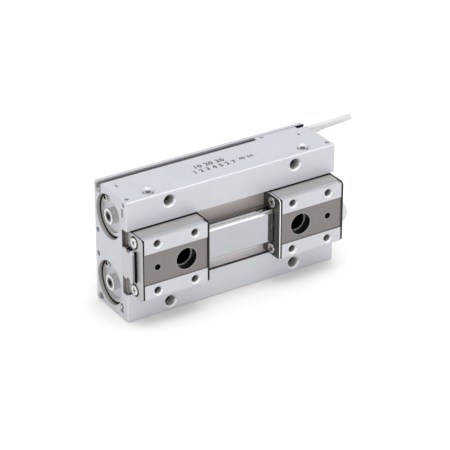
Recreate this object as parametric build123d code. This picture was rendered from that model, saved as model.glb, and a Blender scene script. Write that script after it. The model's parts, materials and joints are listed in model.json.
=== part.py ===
from build123d import *
import math
import os

# A low profile pneumatic gripper: two pistons side by side in a flat aluminium body push two
# finger blocks along one guide rail, and a pinion between the piston racks keeps them together.
#
# Frame: +X along the travel of the fingers, +Y from the fingers to the mounting back, +Z up with
# the body standing on its long narrow side. The origin is the middle of the footprint at the
# bottom. The model is drawn with the fingers open. All sizes are in millimetres.

# Body
BODY_LENGTH = 108.0
BODY_DEPTH = 27.5
BODY_HEIGHT = 58.5
BODY_CHAMFER = 0.6
FINGER_PROUD = 9.5
TRAVEL = 10.0

END = BODY_LENGTH / 2
MID_Z = BODY_HEIGHT / 2
BACK_Y = (BODY_DEPTH + FINGER_PROUD) / 2
FRONT_Y = BACK_Y - BODY_DEPTH
FINGER_FRONT = FRONT_Y - FINGER_PROUD

# General fits and allowances
PAST = 1.0  # how far a cutting tool runs past the face that it opens
SLIP = 0.05  # radial clearance of a piece that is put in by hand or slides
PRESS = 0.01  # radial allowance left in a pressed seat

# Front channel and guide rail
FINGER_HEIGHT = 29.8
FINGER_SIDE_GAP = 0.65  # between a finger and each side of the channel
CHANNEL_WIDTH = FINGER_HEIGHT + 2 * FINGER_SIDE_GAP
CHANNEL_DEPTH = 3.65
RAIL_WIDTH = 15.0
RAIL_HEIGHT = 8.45
RAIL_CHAMFER = 0.7
RAIL_RELIEF = 1.0  # undercut along the foot of the rail
FLOOR_Y = FRONT_Y + CHANNEL_DEPTH
RAIL_FRONT = FLOOR_Y - RAIL_HEIGHT

# Cylinder bores and what closes them
BORE_RADIUS = 10.0
BORE_SPACING = 32.6
BORE_FROM_BACK = 12.2
BORE_Y = BACK_Y - BORE_FROM_BACK
MOUTH_RADIUS = 10.3
CLIP_RECESS = 1.7  # from the end face of the body to the circlip groove
CLIP_GROOVE_WIDTH = 1.1
CLIP_GROOVE_DEPTH = 0.5
CLIP_THICKNESS = 1.0
CLIP_WIDTH = 2.1
CLIP_GAP_ANGLE = 46.0
CLIP_LUG_RADIUS = 1.7
CLIP_LUG_HOLE = 0.8
CLIP_TILT = 20.0  # the gap stands a little behind the top of the bore
CAP_THICKNESS = 5.0
CAP_SEAL_RADIUS = 0.7
CAP_SEAL_FROM_FACE = 2.0
CAP_PULL_HOLE = 1.25
CAP_PULL_DEPTH = 3.5
BUMPER_INNER = 4.6
BUMPER_OUTER = 6.8
BUMPER_DEPTH = 1.2
BUMPER_PROUD = 0.15
CAP_OUTER = END - CLIP_RECESS - CLIP_GROOVE_WIDTH
CAP_INNER = CAP_OUTER - CAP_THICKNESS

# Hex socket plug at the centre of the caps that carry the end ports
PLUG_HEAD_RADIUS = 3.6
PLUG_SHANK_RADIUS = 2.5
PLUG_SHANK_LENGTH = 4.0
PLUG_SOCKET = 3.0  # across the flats
PLUG_SOCKET_DEPTH = 2.0

# Pistons with their racks
HEAD_RADIUS = BORE_RADIUS - 0.1
HEAD_LENGTH = 5.0
STOP_GAP = 0.05  # between a head and its bumper at the end of the travel
SEAL_WIDTH = 1.9
SEAL_FROM_FACE = 1.1
SEAL_DEPTH = 1.7
SEAL_LIP = 0.6
MAGNET_WIDTH = 1.0
MAGNET_DEPTH = 2.2
MAGNET_FROM_FACE = 3.5
RACK_WIDTH = 6.6
RACK_BACK = 5.0  # how far the bar reaches past the bore's centre, away from the pinion

# Pinion
MODULE = 0.8
PINION_TEETH = 20
PRESSURE_ANGLE = 20.0
ADDENDUM = 0.75
DEDENDUM = 1.0
BACKLASH = 0.12
POCKET_CLEARANCE = 0.4
HUB_RADIUS = 5.4
SHAFT_RADIUS = 2.0
SHAFT_SEAT = 5.0
BUSH_RADIUS = 3.0
COVER_RADIUS = 10.6
COVER_THICKNESS = 2.5
COVER_KEY_RADIUS = 1.0
COVER_KEY_DEPTH = 1.4
COVER_KEY_OFFSET = 6.5
COVER_SEAT_DEPTH = 1.3
PITCH_RADIUS = MODULE * PINION_TEETH / 2
TIP_RADIUS = PITCH_RADIUS + ADDENDUM
TOOTH_PITCH = math.pi * MODULE
END_PLAY = 0.1

# Fingers
FINGER_LENGTH = 33.9  # with both end plates
FINGER_FROM_END = 1.9  # from the body's end to the outer plate, open
FINGER_FLOOR_GAP = 0.3
FINGER_CHAMFER = 0.5
RAIL_GAP = 0.3
PLATE_THICKNESS = 1.0
PLATE_CORNER = 1.2
PLATE_RAIL_GAP = 0.5
BAND_HEIGHT = 15.0  # ground band across the middle of the front face
BAND_DEPTH = 0.4
SHOULDER_DEPTH = 0.4  # step along the upper and lower side
SHOULDER_FROM_FRONT = 3.4
FINGER_HOLE_PITCH_X = 18.8
FINGER_HOLE_PITCH_Z = 22.8
FINGER_HOLE_SHIFT = 0.45  # the hole pattern sits this much nearer the middle of the body
FINGER_TAP_RADIUS = 1.65
FINGER_TAP_DEPTH = 8.0
FINGER_TAP_MOUTH = 2.3
FINGER_PIN_RADIUS = 1.5
FINGER_PIN_DEPTH = 3.0
ACCESS_RADIUS = 5.1
FINGER_BACK = FLOOR_Y - FINGER_FLOOR_GAP
FINGER_CENTRE = END - FINGER_FROM_END - FINGER_LENGTH / 2

# Small pan head screws of the end plates
PLATE_SCREW_Y = -12.4
PLATE_SCREW_SPACING = 23.1
PLATE_SCREW_HEAD_RADIUS = 2.3
PLATE_SCREW_HEAD = 1.5
PLATE_SCREW_RADIUS = 1.2
PLATE_SCREW_LENGTH = 5.0

# Guide balls
BALL_RADIUS = 1.5
BALL_ROW_Y = -10.0
BALLS_IN_ROW = 5
BALL_PITCH = 5.2
BALL_ROW_OFFSET = RAIL_WIDTH / 2 + RAIL_GAP / 2
BALL_PLAY = 0.03

# Pins that join each rack to its finger
JOINT_RADIUS = 2.0
JOINT_SHIFT = 4.95  # the pin sits this much nearer the middle of the body
JOINT_FROM_MID = 11.75
JOINT_IN_FINGER = 6.7
JOINT_X = JOINT_SHIFT - FINGER_CENTRE

# Rail screws
RAIL_SCREW_RADIUS = 1.5
RAIL_SCREW_HEAD_RADIUS = 2.75
RAIL_SCREW_HEAD = 3.0
RAIL_SCREW_LENGTH = 12.0
RAIL_SCREW_SOCKET = 2.5
RAIL_SCREW_SINK = 0.4

# Through holes for mounting bolts, reached through the large hole of each open finger
BOLT_SHIFT = 5.55  # as far from the middle of the finger towards the middle of the body
BOLT_HOLE_RADIUS = 2.75
BOLT_HEAD_RADIUS = 4.6
BOLT_HEAD_DEPTH = 5.4
BOLT_X = FINGER_CENTRE - BOLT_SHIFT
RAIL_SCREW_X = BOLT_X - TRAVEL  # the same hole reaches the rail screws with the fingers closed

# Holes of the body
FRONT_TAP_FROM_END = 21.6
FRONT_TAP_Z = 49.4
FRONT_TAP_RADIUS = 2.5
FRONT_TAP_DEPTH = 5.0  # leaves a wall to the bore behind
FRONT_TAP_MOUTH = 3.1
BACK_TAP_FROM_END = 12.0
BACK_TAP_RADIUS = 2.5
BACK_TAP_DEPTH = 9.0
BACK_PIN_FROM_BOLT = 9.6
BACK_PIN_RADIUS = 2.0
BACK_PIN_DEPTH = 4.0
END_HOLE_RADIUS = 1.25
END_HOLE_DEPTH = 5.0
END_HOLE_FROM_BACK = 2.7
END_HOLE_SPACING = 11.8
FRONT_TAP_X = END - FRONT_TAP_FROM_END
BACK_TAP_X = END - BACK_TAP_FROM_END
BACK_PIN_X = BOLT_X - BACK_PIN_FROM_BOLT

# Air ports and cross drillings
PORT_FROM_END = 14.1
PORT_Y = -3.8
PORT_RADIUS = 2.1
PORT_MOUTH = 3.3
PORT_DEPTH = 5.5
PORT_PLUG_LENGTH = 4.4
PORT_PLUG_SINK = 0.5
PORT_SOCKET = 2.5
PASSAGE_RADIUS = 1.0
PASSAGE_BALL_SINK = 0.4
END_PASSAGE_Y = -6.8
END_PASSAGE_FROM_TOP = 1.8
TOP_PASSAGE_FROM_END = 2.4
TOP_PASSAGE_Y = -5.75
TOP_PASSAGE_DEPTH = 7.0
FEED_RADIUS = 0.9
PORT_X = END - PORT_FROM_END
END_PASSAGE_Z = BODY_HEIGHT - END_PASSAGE_FROM_TOP
TOP_PASSAGE_X = END - TOP_PASSAGE_FROM_END

# Sensor grooves, switches and their leads
GROOVE_FROM_BACK = 4.1
GROOVE_RADIUS = 2.05
GROOVE_DEPTH = 4.2
GROOVE_MOUTH = 3.1
SWITCH_FROM_END = 5.2
SWITCH_LENGTH = 22.0
SWITCH_GAP = 0.1
SWITCH_NECK = 2.7
SWITCH_SINK = 0.2
SET_SCREW_FROM_LEFT = 3.2
SET_SCREW_RADIUS = 1.0
SET_SCREW_LENGTH = 2.4
GROOVE_Y = BACK_Y - GROOVE_FROM_BACK
GROOVE_AXIS = GROOVE_DEPTH - GROOVE_RADIUS
SWITCH_RIGHT = END - SWITCH_FROM_END
SWITCH_LEFT = SWITCH_RIGHT - SWITCH_LENGTH
SET_SCREW_X = SWITCH_LEFT + SET_SCREW_FROM_LEFT
LEAD_RADIUS = 1.3
CORE_RADIUS = 0.45
CORE_LENGTH = 12.0
CORE_SPREAD = 0.75
COIL_RADIUS = 14.3
COIL_WIDTH = 5.4
UPPER_COIL_HEIGHT = 5.4
LOWER_COIL_HEIGHT = 8.1
COIL_EDGE = 1.2
UPPER_COIL = (6.0, 46.0)
LOWER_COIL = (47.0, 49.0)


def block(x0, x1, y0, y1, z0, z1):
    """A box between two values on each axis."""
    middle = Pos((x0 + x1) / 2, (y0 + y1) / 2, (z0 + z1) / 2)
    return middle * Box(x1 - x0, y1 - y0, z1 - z0)


def rod_x(radius, x0, x1, y, z):
    """A round bar along X."""
    return Pos((x0 + x1) / 2, y, z) * Rot(0, 90, 0) * Cylinder(radius, abs(x1 - x0))


def rod_y(radius, y0, y1, x, z):
    """A round bar along Y."""
    return Pos(x, (y0 + y1) / 2, z) * Rot(90, 0, 0) * Cylinder(radius, abs(y1 - y0))


def rod_z(radius, z0, z1, x, y):
    """A round bar along Z."""
    return Pos(x, y, (z0 + z1) / 2) * Cylinder(radius, abs(z1 - z0))


def hole(point, outward, radius, depth, mouth=0.0):
    """The material that a drill takes out, from a point on a face, with a countersunk mouth."""
    tool = Pos(0, 0, (PAST - depth) / 2) * Cylinder(radius, depth + PAST)
    if mouth > radius:
        sink = mouth - radius
        tool += Pos(0, 0, -sink / 2) * Cone(radius, mouth, sink)
        tool += Pos(0, 0, PAST / 2) * Cylinder(mouth, PAST)
    return Plane(origin=point, z_dir=outward).location * tool


def hexagon(across, depth, point, outward):
    """A hex socket cut into a face at a point, pointing out of the piece."""
    key = extrude(RegularPolygon(across / 2, 6, major_radius=False), depth + PAST)
    return Plane(origin=point, z_dir=outward).location * (Pos(0, 0, -depth) * key)


def ring_x(corners, y, z):
    """A ring around an axis along X, from corners given as (x, radius)."""
    face = make_face(Polyline(*corners, close=True))
    return Pos(0, y, z) * revolve(face, Axis.X)


def washer_x(inner, outer, x0, x1, y, z):
    """A plain ring around an axis along X."""
    return ring_x([(x0, inner), (x1, inner), (x1, outer), (x0, outer)], y, z)


def turned(piece):
    """The same piece on the other finger's side: half a turn about the pinion's axis."""
    return Pos(0, 0, MID_Z) * Rot(0, 180, 0) * Pos(0, 0, -MID_Z) * piece


def save(name, *pieces):
    """Write one node, one piece or a group of like pieces."""
    solids = [solid for piece in pieces for solid in piece.solids()]
    shape = solids[0] if len(solids) == 1 else Compound(children=solids)
    export_step(shape, f"parts/{name}.step")
    print(f"{name}: {len(solids)} solids, {sum(s.volume for s in solids):.1f} mm3")


UPPER_Z = MID_Z + BORE_SPACING / 2
LOWER_Z = MID_Z - BORE_SPACING / 2
BORE_ENDS = [(side, z) for z in (UPPER_Z, LOWER_Z) for side in (-1, 1)]


def sensor_groove(face, inward):
    """The tee-shaped groove that a switch slides into, cut from the top or the bottom face."""
    axis = face + inward * GROOVE_AXIS
    tool = rod_x(GROOVE_RADIUS, -END - PAST, END + PAST, GROOVE_Y, axis)
    low, high = sorted((axis, face - inward * PAST))
    half = GROOVE_MOUTH / 2
    return tool + block(-END - PAST, END + PAST, GROOVE_Y - half, GROOVE_Y + half, low, high)


def joint_slot():
    """Slot through the channel floor, long enough for the upper joint pin's travel."""
    radius = JOINT_RADIUS + 4 * SLIP
    z = MID_Z + JOINT_FROM_MID
    slot = block(JOINT_X, JOINT_X + TRAVEL, FLOOR_Y - PAST, BORE_Y, z - radius, z + radius)
    slot += rod_y(radius, FLOOR_Y - PAST, BORE_Y, JOINT_X, z)
    return slot + rod_y(radius, FLOOR_Y - PAST, BORE_Y, JOINT_X + TRAVEL, z)


def housing():
    """Extruded body with its bores, channel, grooves, pinion pocket and holes."""
    body = block(-END, END, FRONT_Y, BACK_Y, 0, BODY_HEIGHT)
    body = chamfer(body.edges(), BODY_CHAMFER)
    half = CHANNEL_WIDTH / 2
    body -= block(-END - PAST, END + PAST, FRONT_Y - PAST, FLOOR_Y, MID_Z - half, MID_Z + half)
    body -= sensor_groove(BODY_HEIGHT, -1)
    body -= sensor_groove(0, 1)

    for z in (UPPER_Z, LOWER_Z):
        body -= rod_x(BORE_RADIUS, -END - PAST, END + PAST, BORE_Y, z)
    for side, z in BORE_ENDS:
        clip_groove = CAP_OUTER + CLIP_GROOVE_WIDTH
        body -= rod_x(MOUTH_RADIUS, side * clip_groove, side * (END + PAST), BORE_Y, z)
        body -= rod_x(BORE_RADIUS + CLIP_GROOVE_DEPTH, side * CAP_OUTER, side * clip_groove, BORE_Y, z)

    pocket = TIP_RADIUS + POCKET_CLEARANCE
    body -= rod_y(pocket, PINION_FRONT - END_PLAY, BACK_Y + PAST, 0, MID_Z)
    body -= rod_y(COVER_RADIUS, COVER_FRONT, BACK_Y + PAST, 0, MID_Z)
    body -= rod_y(SHAFT_RADIUS + PRESS, PINION_FRONT - SHAFT_SEAT, PINION_FRONT, 0, MID_Z)
    body -= joint_slot()
    body -= turned(joint_slot())

    for x in (-RAIL_SCREW_X, RAIL_SCREW_X):
        depth = RAIL_SCREW_LENGTH - (FLOOR_Y - RAIL_SCREW_SEAT) + PAST
        body -= hole((x, FLOOR_Y, MID_Z), (0, -1, 0), RAIL_SCREW_RADIUS + SLIP, depth)
    for x in (-FRONT_TAP_X, FRONT_TAP_X):
        for z in (MID_Z - FRONT_TAP_Z / 2, MID_Z + FRONT_TAP_Z / 2):
            body -= hole((x, FRONT_Y, z), (0, -1, 0), FRONT_TAP_RADIUS, FRONT_TAP_DEPTH, FRONT_TAP_MOUTH)
    for side in (-1, 1):
        body -= hole((side * BACK_TAP_X, BACK_Y, MID_Z), (0, 1, 0), BACK_TAP_RADIUS, BACK_TAP_DEPTH)
        body -= hole((side * BACK_PIN_X, BACK_Y, MID_Z), (0, 1, 0), BACK_PIN_RADIUS, BACK_PIN_DEPTH)
        body -= rod_y(BOLT_HOLE_RADIUS, FLOOR_Y - PAST, BACK_Y + PAST, side * BOLT_X, MID_Z)
        end_hole = (-END, BACK_Y - END_HOLE_FROM_BACK, MID_Z + side * END_HOLE_SPACING / 2)
        body -= hole(end_hole, (-1, 0, 0), END_HOLE_RADIUS, END_HOLE_DEPTH)

    for x in (-PORT_X, PORT_X):
        for face, up in ((BODY_HEIGHT, 1), (0, -1)):
            body -= hole((x, PORT_Y, face), (0, 0, up), PORT_RADIUS, PORT_DEPTH, PORT_MOUTH)
            feed_depth = BODY_HEIGHT - UPPER_Z
            body -= hole((x, PORT_Y, face), (0, 0, up), FEED_RADIUS, feed_depth)
    for side in (-1, 1):
        end_length = END - PORT_X
        body -= hole((side * END, END_PASSAGE_Y, END_PASSAGE_Z), (side, 0, 0), PASSAGE_RADIUS, end_length)
        top = (side * TOP_PASSAGE_X, TOP_PASSAGE_Y, BODY_HEIGHT)
        body -= hole(top, (0, 0, 1), PASSAGE_RADIUS, TOP_PASSAGE_DEPTH)
    return body


def passage_balls():
    """Small steel balls pressed into the ends of the cross drillings."""
    radius = PASSAGE_RADIUS - PRESS
    sunk = radius + PASSAGE_BALL_SINK
    balls = []
    for side in (-1, 1):
        balls.append(Pos(side * (END - sunk), END_PASSAGE_Y, END_PASSAGE_Z) * Sphere(radius))
        balls.append(Pos(side * TOP_PASSAGE_X, TOP_PASSAGE_Y, BODY_HEIGHT - sunk) * Sphere(radius))
    return balls


# The rail screws' heads sit this deep, on the bottom of their counterbores
RAIL_SCREW_SEAT = RAIL_FRONT + RAIL_SCREW_SINK + RAIL_SCREW_HEAD


def guide_rail():
    """Stainless rail with a ball groove along each side."""
    half = RAIL_WIDTH / 2
    rail = block(-END, END, RAIL_FRONT, FLOOR_Y, MID_Z - half, MID_Z + half)
    front_edges = rail.faces().sort_by(Axis.Y)[0].edges().filter_by(Axis.X)
    rail = chamfer(front_edges, RAIL_CHAMFER)
    for side in (-1, 1):
        z = MID_Z + side * BALL_ROW_OFFSET
        rail -= rod_x(BALL_RADIUS + BALL_PLAY, -END - PAST, END + PAST, BALL_ROW_Y, z)
        outer = MID_Z + side * half
        low, high = sorted((outer - side * RAIL_RELIEF / 2, outer + side * PAST))
        rail -= block(-END - PAST, END + PAST, FLOOR_Y - RAIL_RELIEF, FLOOR_Y + PAST, low, high)
    for x in (-RAIL_SCREW_X, RAIL_SCREW_X):
        rail -= rod_y(RAIL_SCREW_RADIUS + 2 * SLIP, RAIL_FRONT, FLOOR_Y + PAST, x, MID_Z)
        rail -= rod_y(RAIL_SCREW_HEAD_RADIUS + 4 * SLIP, RAIL_FRONT - PAST, RAIL_SCREW_SEAT, x, MID_Z)
    for x in (-BOLT_X, BOLT_X):
        rail -= rod_y(BOLT_HOLE_RADIUS, RAIL_FRONT, FLOOR_Y + PAST, x, MID_Z)
        rail -= rod_y(BOLT_HEAD_RADIUS, RAIL_FRONT - PAST, RAIL_FRONT + BOLT_HEAD_DEPTH, x, MID_Z)
    return rail


def rail_screw(x):
    """Socket head cap screw in the rail."""
    top = RAIL_SCREW_SEAT - RAIL_SCREW_HEAD
    screw = rod_y(RAIL_SCREW_HEAD_RADIUS, top, RAIL_SCREW_SEAT, x, MID_Z)
    screw += rod_y(RAIL_SCREW_RADIUS, RAIL_SCREW_SEAT, RAIL_SCREW_SEAT + RAIL_SCREW_LENGTH, x, MID_Z)
    return screw - hexagon(RAIL_SCREW_SOCKET, RAIL_SCREW_HEAD / 2, (x, top, MID_Z), (0, -1, 0))


def end_cap(side, z, with_port):
    """Turned cap with its seal groove, bumper groove and either a port or a pulling thread."""
    outer, inner = side * CAP_OUTER, side * CAP_INNER
    cap = rod_x(BORE_RADIUS - SLIP, inner, outer, BORE_Y, z)
    seal_mid = side * (CAP_OUTER - CAP_SEAL_FROM_FACE)
    half = CAP_SEAL_RADIUS + SLIP
    floor = BORE_RADIUS - SLIP - 2 * CAP_SEAL_RADIUS
    cap -= washer_x(floor, BORE_RADIUS + PAST, seal_mid - half, seal_mid + half, BORE_Y, z)
    bumper_floor = inner + side * BUMPER_DEPTH
    x0, x1 = sorted((inner - side * PAST, bumper_floor))
    cap -= washer_x(BUMPER_INNER, BUMPER_OUTER, x0, x1, BORE_Y, z)
    if with_port:
        cap -= rod_x(PLUG_SHANK_RADIUS + SLIP, inner - side * PAST, side * (END + PAST), BORE_Y, z)
    else:
        cap -= hole((outer, BORE_Y, z), (side, 0, 0), CAP_PULL_HOLE, CAP_PULL_DEPTH)
    return cap


def cap_seal(side, z):
    """O-ring in the groove of a cap."""
    x = side * (CAP_OUTER - CAP_SEAL_FROM_FACE)
    path = BORE_RADIUS - SLIP - CAP_SEAL_RADIUS
    return Pos(x, BORE_Y, z) * Rot(0, 90, 0) * Torus(path, CAP_SEAL_RADIUS - PRESS)


def cap_bumper(side, z):
    """Rubber ring that the piston head lands on."""
    x0, x1 = sorted((side * (CAP_INNER - BUMPER_PROUD), side * (CAP_INNER + BUMPER_DEPTH)))
    return washer_x(BUMPER_INNER + PRESS, BUMPER_OUTER - PRESS, x0, x1, BORE_Y, z)


def circlip(side, z):
    """Internal circlip, open at the top, with an eyed lug each side of the gap."""
    outer = BORE_RADIUS + CLIP_GROOVE_DEPTH - SLIP
    inner = outer - CLIP_WIDTH
    shift = CLIP_WIDTH / 5  # the ring is thinner beside the gap
    gap = CLIP_GAP_ANGLE / 2
    profile = Circle(outer) - Pos(0, shift, 0) * Circle(inner)
    wedge = [(0, 0)]
    for angle in (90 - gap, 90, 90 + gap):
        reach = 2 * outer
        wedge.append((reach * math.cos(math.radians(angle)), reach * math.sin(math.radians(angle))))
    profile -= make_face(Polyline(*wedge, close=True))
    lug_path = outer - CLIP_WIDTH / 2 - CLIP_LUG_RADIUS / 2
    lugs = [Rot(0, 0, 90 + s * gap) * Pos(lug_path, 0) for s in (-1, 1)]
    for place in lugs:
        profile += place * Circle(CLIP_LUG_RADIUS)
    for place in lugs:
        profile -= place * Circle(CLIP_LUG_HOLE)
    ring = Rot(0, 0, -CLIP_TILT) * extrude(profile, CLIP_THICKNESS)
    x = min(side * CAP_OUTER, side * (CAP_OUTER + CLIP_THICKNESS))
    face = Plane(origin=(x, BORE_Y, z), x_dir=(0, 1, 0), z_dir=(1, 0, 0))
    return face.location * ring


def cap_plug(side, z):
    """Hex socket plug screwed into a cap's port, its head level with the body's end."""
    plug = rod_x(PLUG_HEAD_RADIUS, side * CAP_OUTER, side * END, BORE_Y, z)
    plug += rod_x(PLUG_SHANK_RADIUS, side * (CAP_OUTER - PLUG_SHANK_LENGTH), side * CAP_OUTER, BORE_Y, z)
    return plug - hexagon(PLUG_SOCKET, PLUG_SOCKET_DEPTH, (side * END, BORE_Y, z), (side, 0, 0))


def port_plug(x):
    """Hex socket plug in a port of the top face."""
    top = BODY_HEIGHT - PORT_PLUG_SINK
    plug = rod_z(PORT_RADIUS - SLIP, top - PORT_PLUG_LENGTH, top, x, PORT_Y)
    return plug - hexagon(PORT_SOCKET, PORT_PLUG_LENGTH / 2, (x, PORT_Y, top), (0, 0, 1))


# Places of the piston assembly, for the upper bore with its finger open
STROKE_END = CAP_INNER - BUMPER_PROUD - STOP_GAP
PISTON_LEFT = -STROKE_END
PISTON_RIGHT = STROKE_END - TRAVEL
RACK_FRONT = BORE_Y - RACK_WIDTH / 2
PINION_FRONT = RACK_FRONT - END_PLAY
RACK_TIP_Z = MID_Z + PITCH_RADIUS - ADDENDUM
JOINT_Z = MID_Z + JOINT_FROM_MID


def rack_tooth_space(x):
    """One space between two rack teeth, centred at x."""
    slope = math.tan(math.radians(PRESSURE_ANGLE))
    half = TOOTH_PITCH / 4
    tip, root = half + (ADDENDUM + PAST) * slope, half - DEDENDUM * slope
    low = RACK_TIP_Z - PAST
    high = MID_Z + PITCH_RADIUS + DEDENDUM
    corners = [(x - tip, low), (x + tip, low), (x + root, high), (x - root, high)]
    face = Plane.XZ * make_face(Polyline(*corners, close=True))
    space = extrude(face, RACK_WIDTH + 2 * PAST)
    return Pos(0, RACK_FRONT + RACK_WIDTH + PAST, 0) * space


def piston():
    """Upper piston: a head at each end of a bar with rack teeth on its lower edge."""
    bar = block(PISTON_LEFT + HEAD_LENGTH, PISTON_RIGHT - HEAD_LENGTH, RACK_FRONT, RACK_FRONT + RACK_WIDTH,
                RACK_TIP_Z, UPPER_Z + RACK_BACK)
    reach = math.sqrt(TIP_RADIUS ** 2 - (PITCH_RADIUS - ADDENDUM) ** 2)
    first = math.floor((-TRAVEL - reach) / TOOTH_PITCH) - 1
    last = math.ceil(reach / TOOTH_PITCH)
    for index in range(first, last + 1):
        bar -= rack_tooth_space((index + 0.5) * TOOTH_PITCH)
    bar -= rod_y(JOINT_RADIUS + PRESS, RACK_FRONT - PAST, RACK_FRONT + RACK_WIDTH + PAST, JOINT_X, JOINT_Z)
    piece = bar
    for face, into in ((PISTON_LEFT, 1), (PISTON_RIGHT, -1)):
        head = rod_x(HEAD_RADIUS, face, face + into * HEAD_LENGTH, BORE_Y, UPPER_Z)
        for start, width, depth in ((SEAL_FROM_FACE, SEAL_WIDTH, SEAL_DEPTH),
                                    (MAGNET_FROM_FACE, MAGNET_WIDTH, MAGNET_DEPTH)):
            x0, x1 = sorted((face + into * start, face + into * (start + width)))
            head -= washer_x(HEAD_RADIUS - depth, BORE_RADIUS + PAST, x0, x1, BORE_Y, UPPER_Z)
        piece += head
    return piece


def piston_seals():
    """Lip seals, with the notch of the lip towards the pressure."""
    seals = []
    bottom, outer = HEAD_RADIUS - SEAL_DEPTH + PRESS, BORE_RADIUS - SLIP
    for face, into in ((PISTON_LEFT, 1), (PISTON_RIGHT, -1)):
        start = face + into * (SEAL_FROM_FACE + SLIP)
        end = face + into * (SEAL_FROM_FACE + SEAL_WIDTH - SLIP)
        notch = (start + into * SEAL_LIP, (bottom + outer) / 2)
        corners = [(start, bottom), notch, (start, outer), (end, outer - SLIP), (end, bottom)]
        seals.append(ring_x(corners, BORE_Y, UPPER_Z))
    return seals


def piston_magnets():
    """Magnet rings that the switches read."""
    magnets = []
    for face, into in ((PISTON_LEFT, 1), (PISTON_RIGHT, -1)):
        edges = (face + into * (MAGNET_FROM_FACE + SLIP), face + into * (MAGNET_FROM_FACE + MAGNET_WIDTH - SLIP))
        inner = HEAD_RADIUS - MAGNET_DEPTH + PRESS
        magnets.append(washer_x(inner, HEAD_RADIUS - SLIP, min(edges), max(edges), BORE_Y, UPPER_Z))
    return magnets


def joint_pin():
    """Dowel pressed into the rack, standing through the slot into the finger."""
    front = FINGER_BACK - JOINT_IN_FINGER
    return rod_y(JOINT_RADIUS, front, RACK_FRONT + RACK_WIDTH, JOINT_X, JOINT_Z)


def involute(base, radius):
    """Roll angle of an involute at a radius."""
    return math.sqrt((radius / base) ** 2 - 1) - math.acos(base / radius)


def pinion():
    """Pinion with involute teeth, drawn with a tooth space towards each rack, and its hub."""
    base = PITCH_RADIUS * math.cos(math.radians(PRESSURE_ANGLE))
    root = PITCH_RADIUS - DEDENDUM
    half_pitch = (TOOTH_PITCH / 2 - BACKLASH) / (2 * PITCH_RADIUS)
    half_base = half_pitch + involute(base, PITCH_RADIUS)
    steps = 3
    flank = [(root, half_base)]
    for step in range(steps + 1):
        radius = base + (TIP_RADIUS - base) * step / steps
        flank.append((radius, half_base - involute(base, radius)))
    tooth = [(r * math.cos(a), -r * math.sin(a)) for r, a in flank]
    tooth += [(r * math.cos(a), r * math.sin(a)) for r, a in reversed(flank)]
    tooth_face = make_face(Polyline((0, 0), *tooth, close=True))
    profile = Circle(root)
    step_angle = 360 / PINION_TEETH
    for index in range(PINION_TEETH):
        profile += Rot(0, 0, 90 + (index + 0.5) * step_angle) * tooth_face
    gear = extrude(profile, RACK_WIDTH + 2 * END_PLAY)
    gear += extrude(Circle(HUB_RADIUS), COVER_FRONT - END_PLAY - PINION_FRONT)
    gear -= Cylinder(BUSH_RADIUS + PRESS, 4 * RACK_WIDTH)
    front = Plane(origin=(0, PINION_FRONT, MID_Z), x_dir=(-1, 0, 0), z_dir=(0, 1, 0))
    return front.location * gear


COVER_FRONT = BACK_Y - COVER_THICKNESS


def pinion_bush():
    length_end = COVER_FRONT - END_PLAY
    bush = rod_y(BUSH_RADIUS, PINION_FRONT, length_end, 0, MID_Z)
    return bush - rod_y(SHAFT_RADIUS + SLIP, PINION_FRONT - PAST, length_end + PAST, 0, MID_Z)


def pinion_shaft():
    return rod_y(SHAFT_RADIUS, PINION_FRONT - SHAFT_SEAT, COVER_FRONT + COVER_SEAT_DEPTH, 0, MID_Z)


def pinion_cover():
    """Threaded cover that closes the pinion's pocket level with the back, with two key holes."""
    cover = rod_y(COVER_RADIUS - SLIP, COVER_FRONT, BACK_Y, 0, MID_Z)
    cover -= rod_y(SHAFT_RADIUS + PRESS, COVER_FRONT - PAST, COVER_FRONT + COVER_SEAT_DEPTH, 0, MID_Z)
    for side in (-1, 1):
        point = (side * COVER_KEY_OFFSET, BACK_Y, MID_Z)
        cover -= hole(point, (0, 1, 0), COVER_KEY_RADIUS, COVER_KEY_DEPTH)
    return cover


# Places of the left finger, open
FINGER_OUTER = -FINGER_CENTRE - FINGER_LENGTH / 2
FINGER_INNER = -FINGER_CENTRE + FINGER_LENGTH / 2
FINGER_LOW = MID_Z - FINGER_HEIGHT / 2
FINGER_HIGH = MID_Z + FINGER_HEIGHT / 2
FINGER_HOLE_X = -FINGER_CENTRE + FINGER_HOLE_SHIFT


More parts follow.
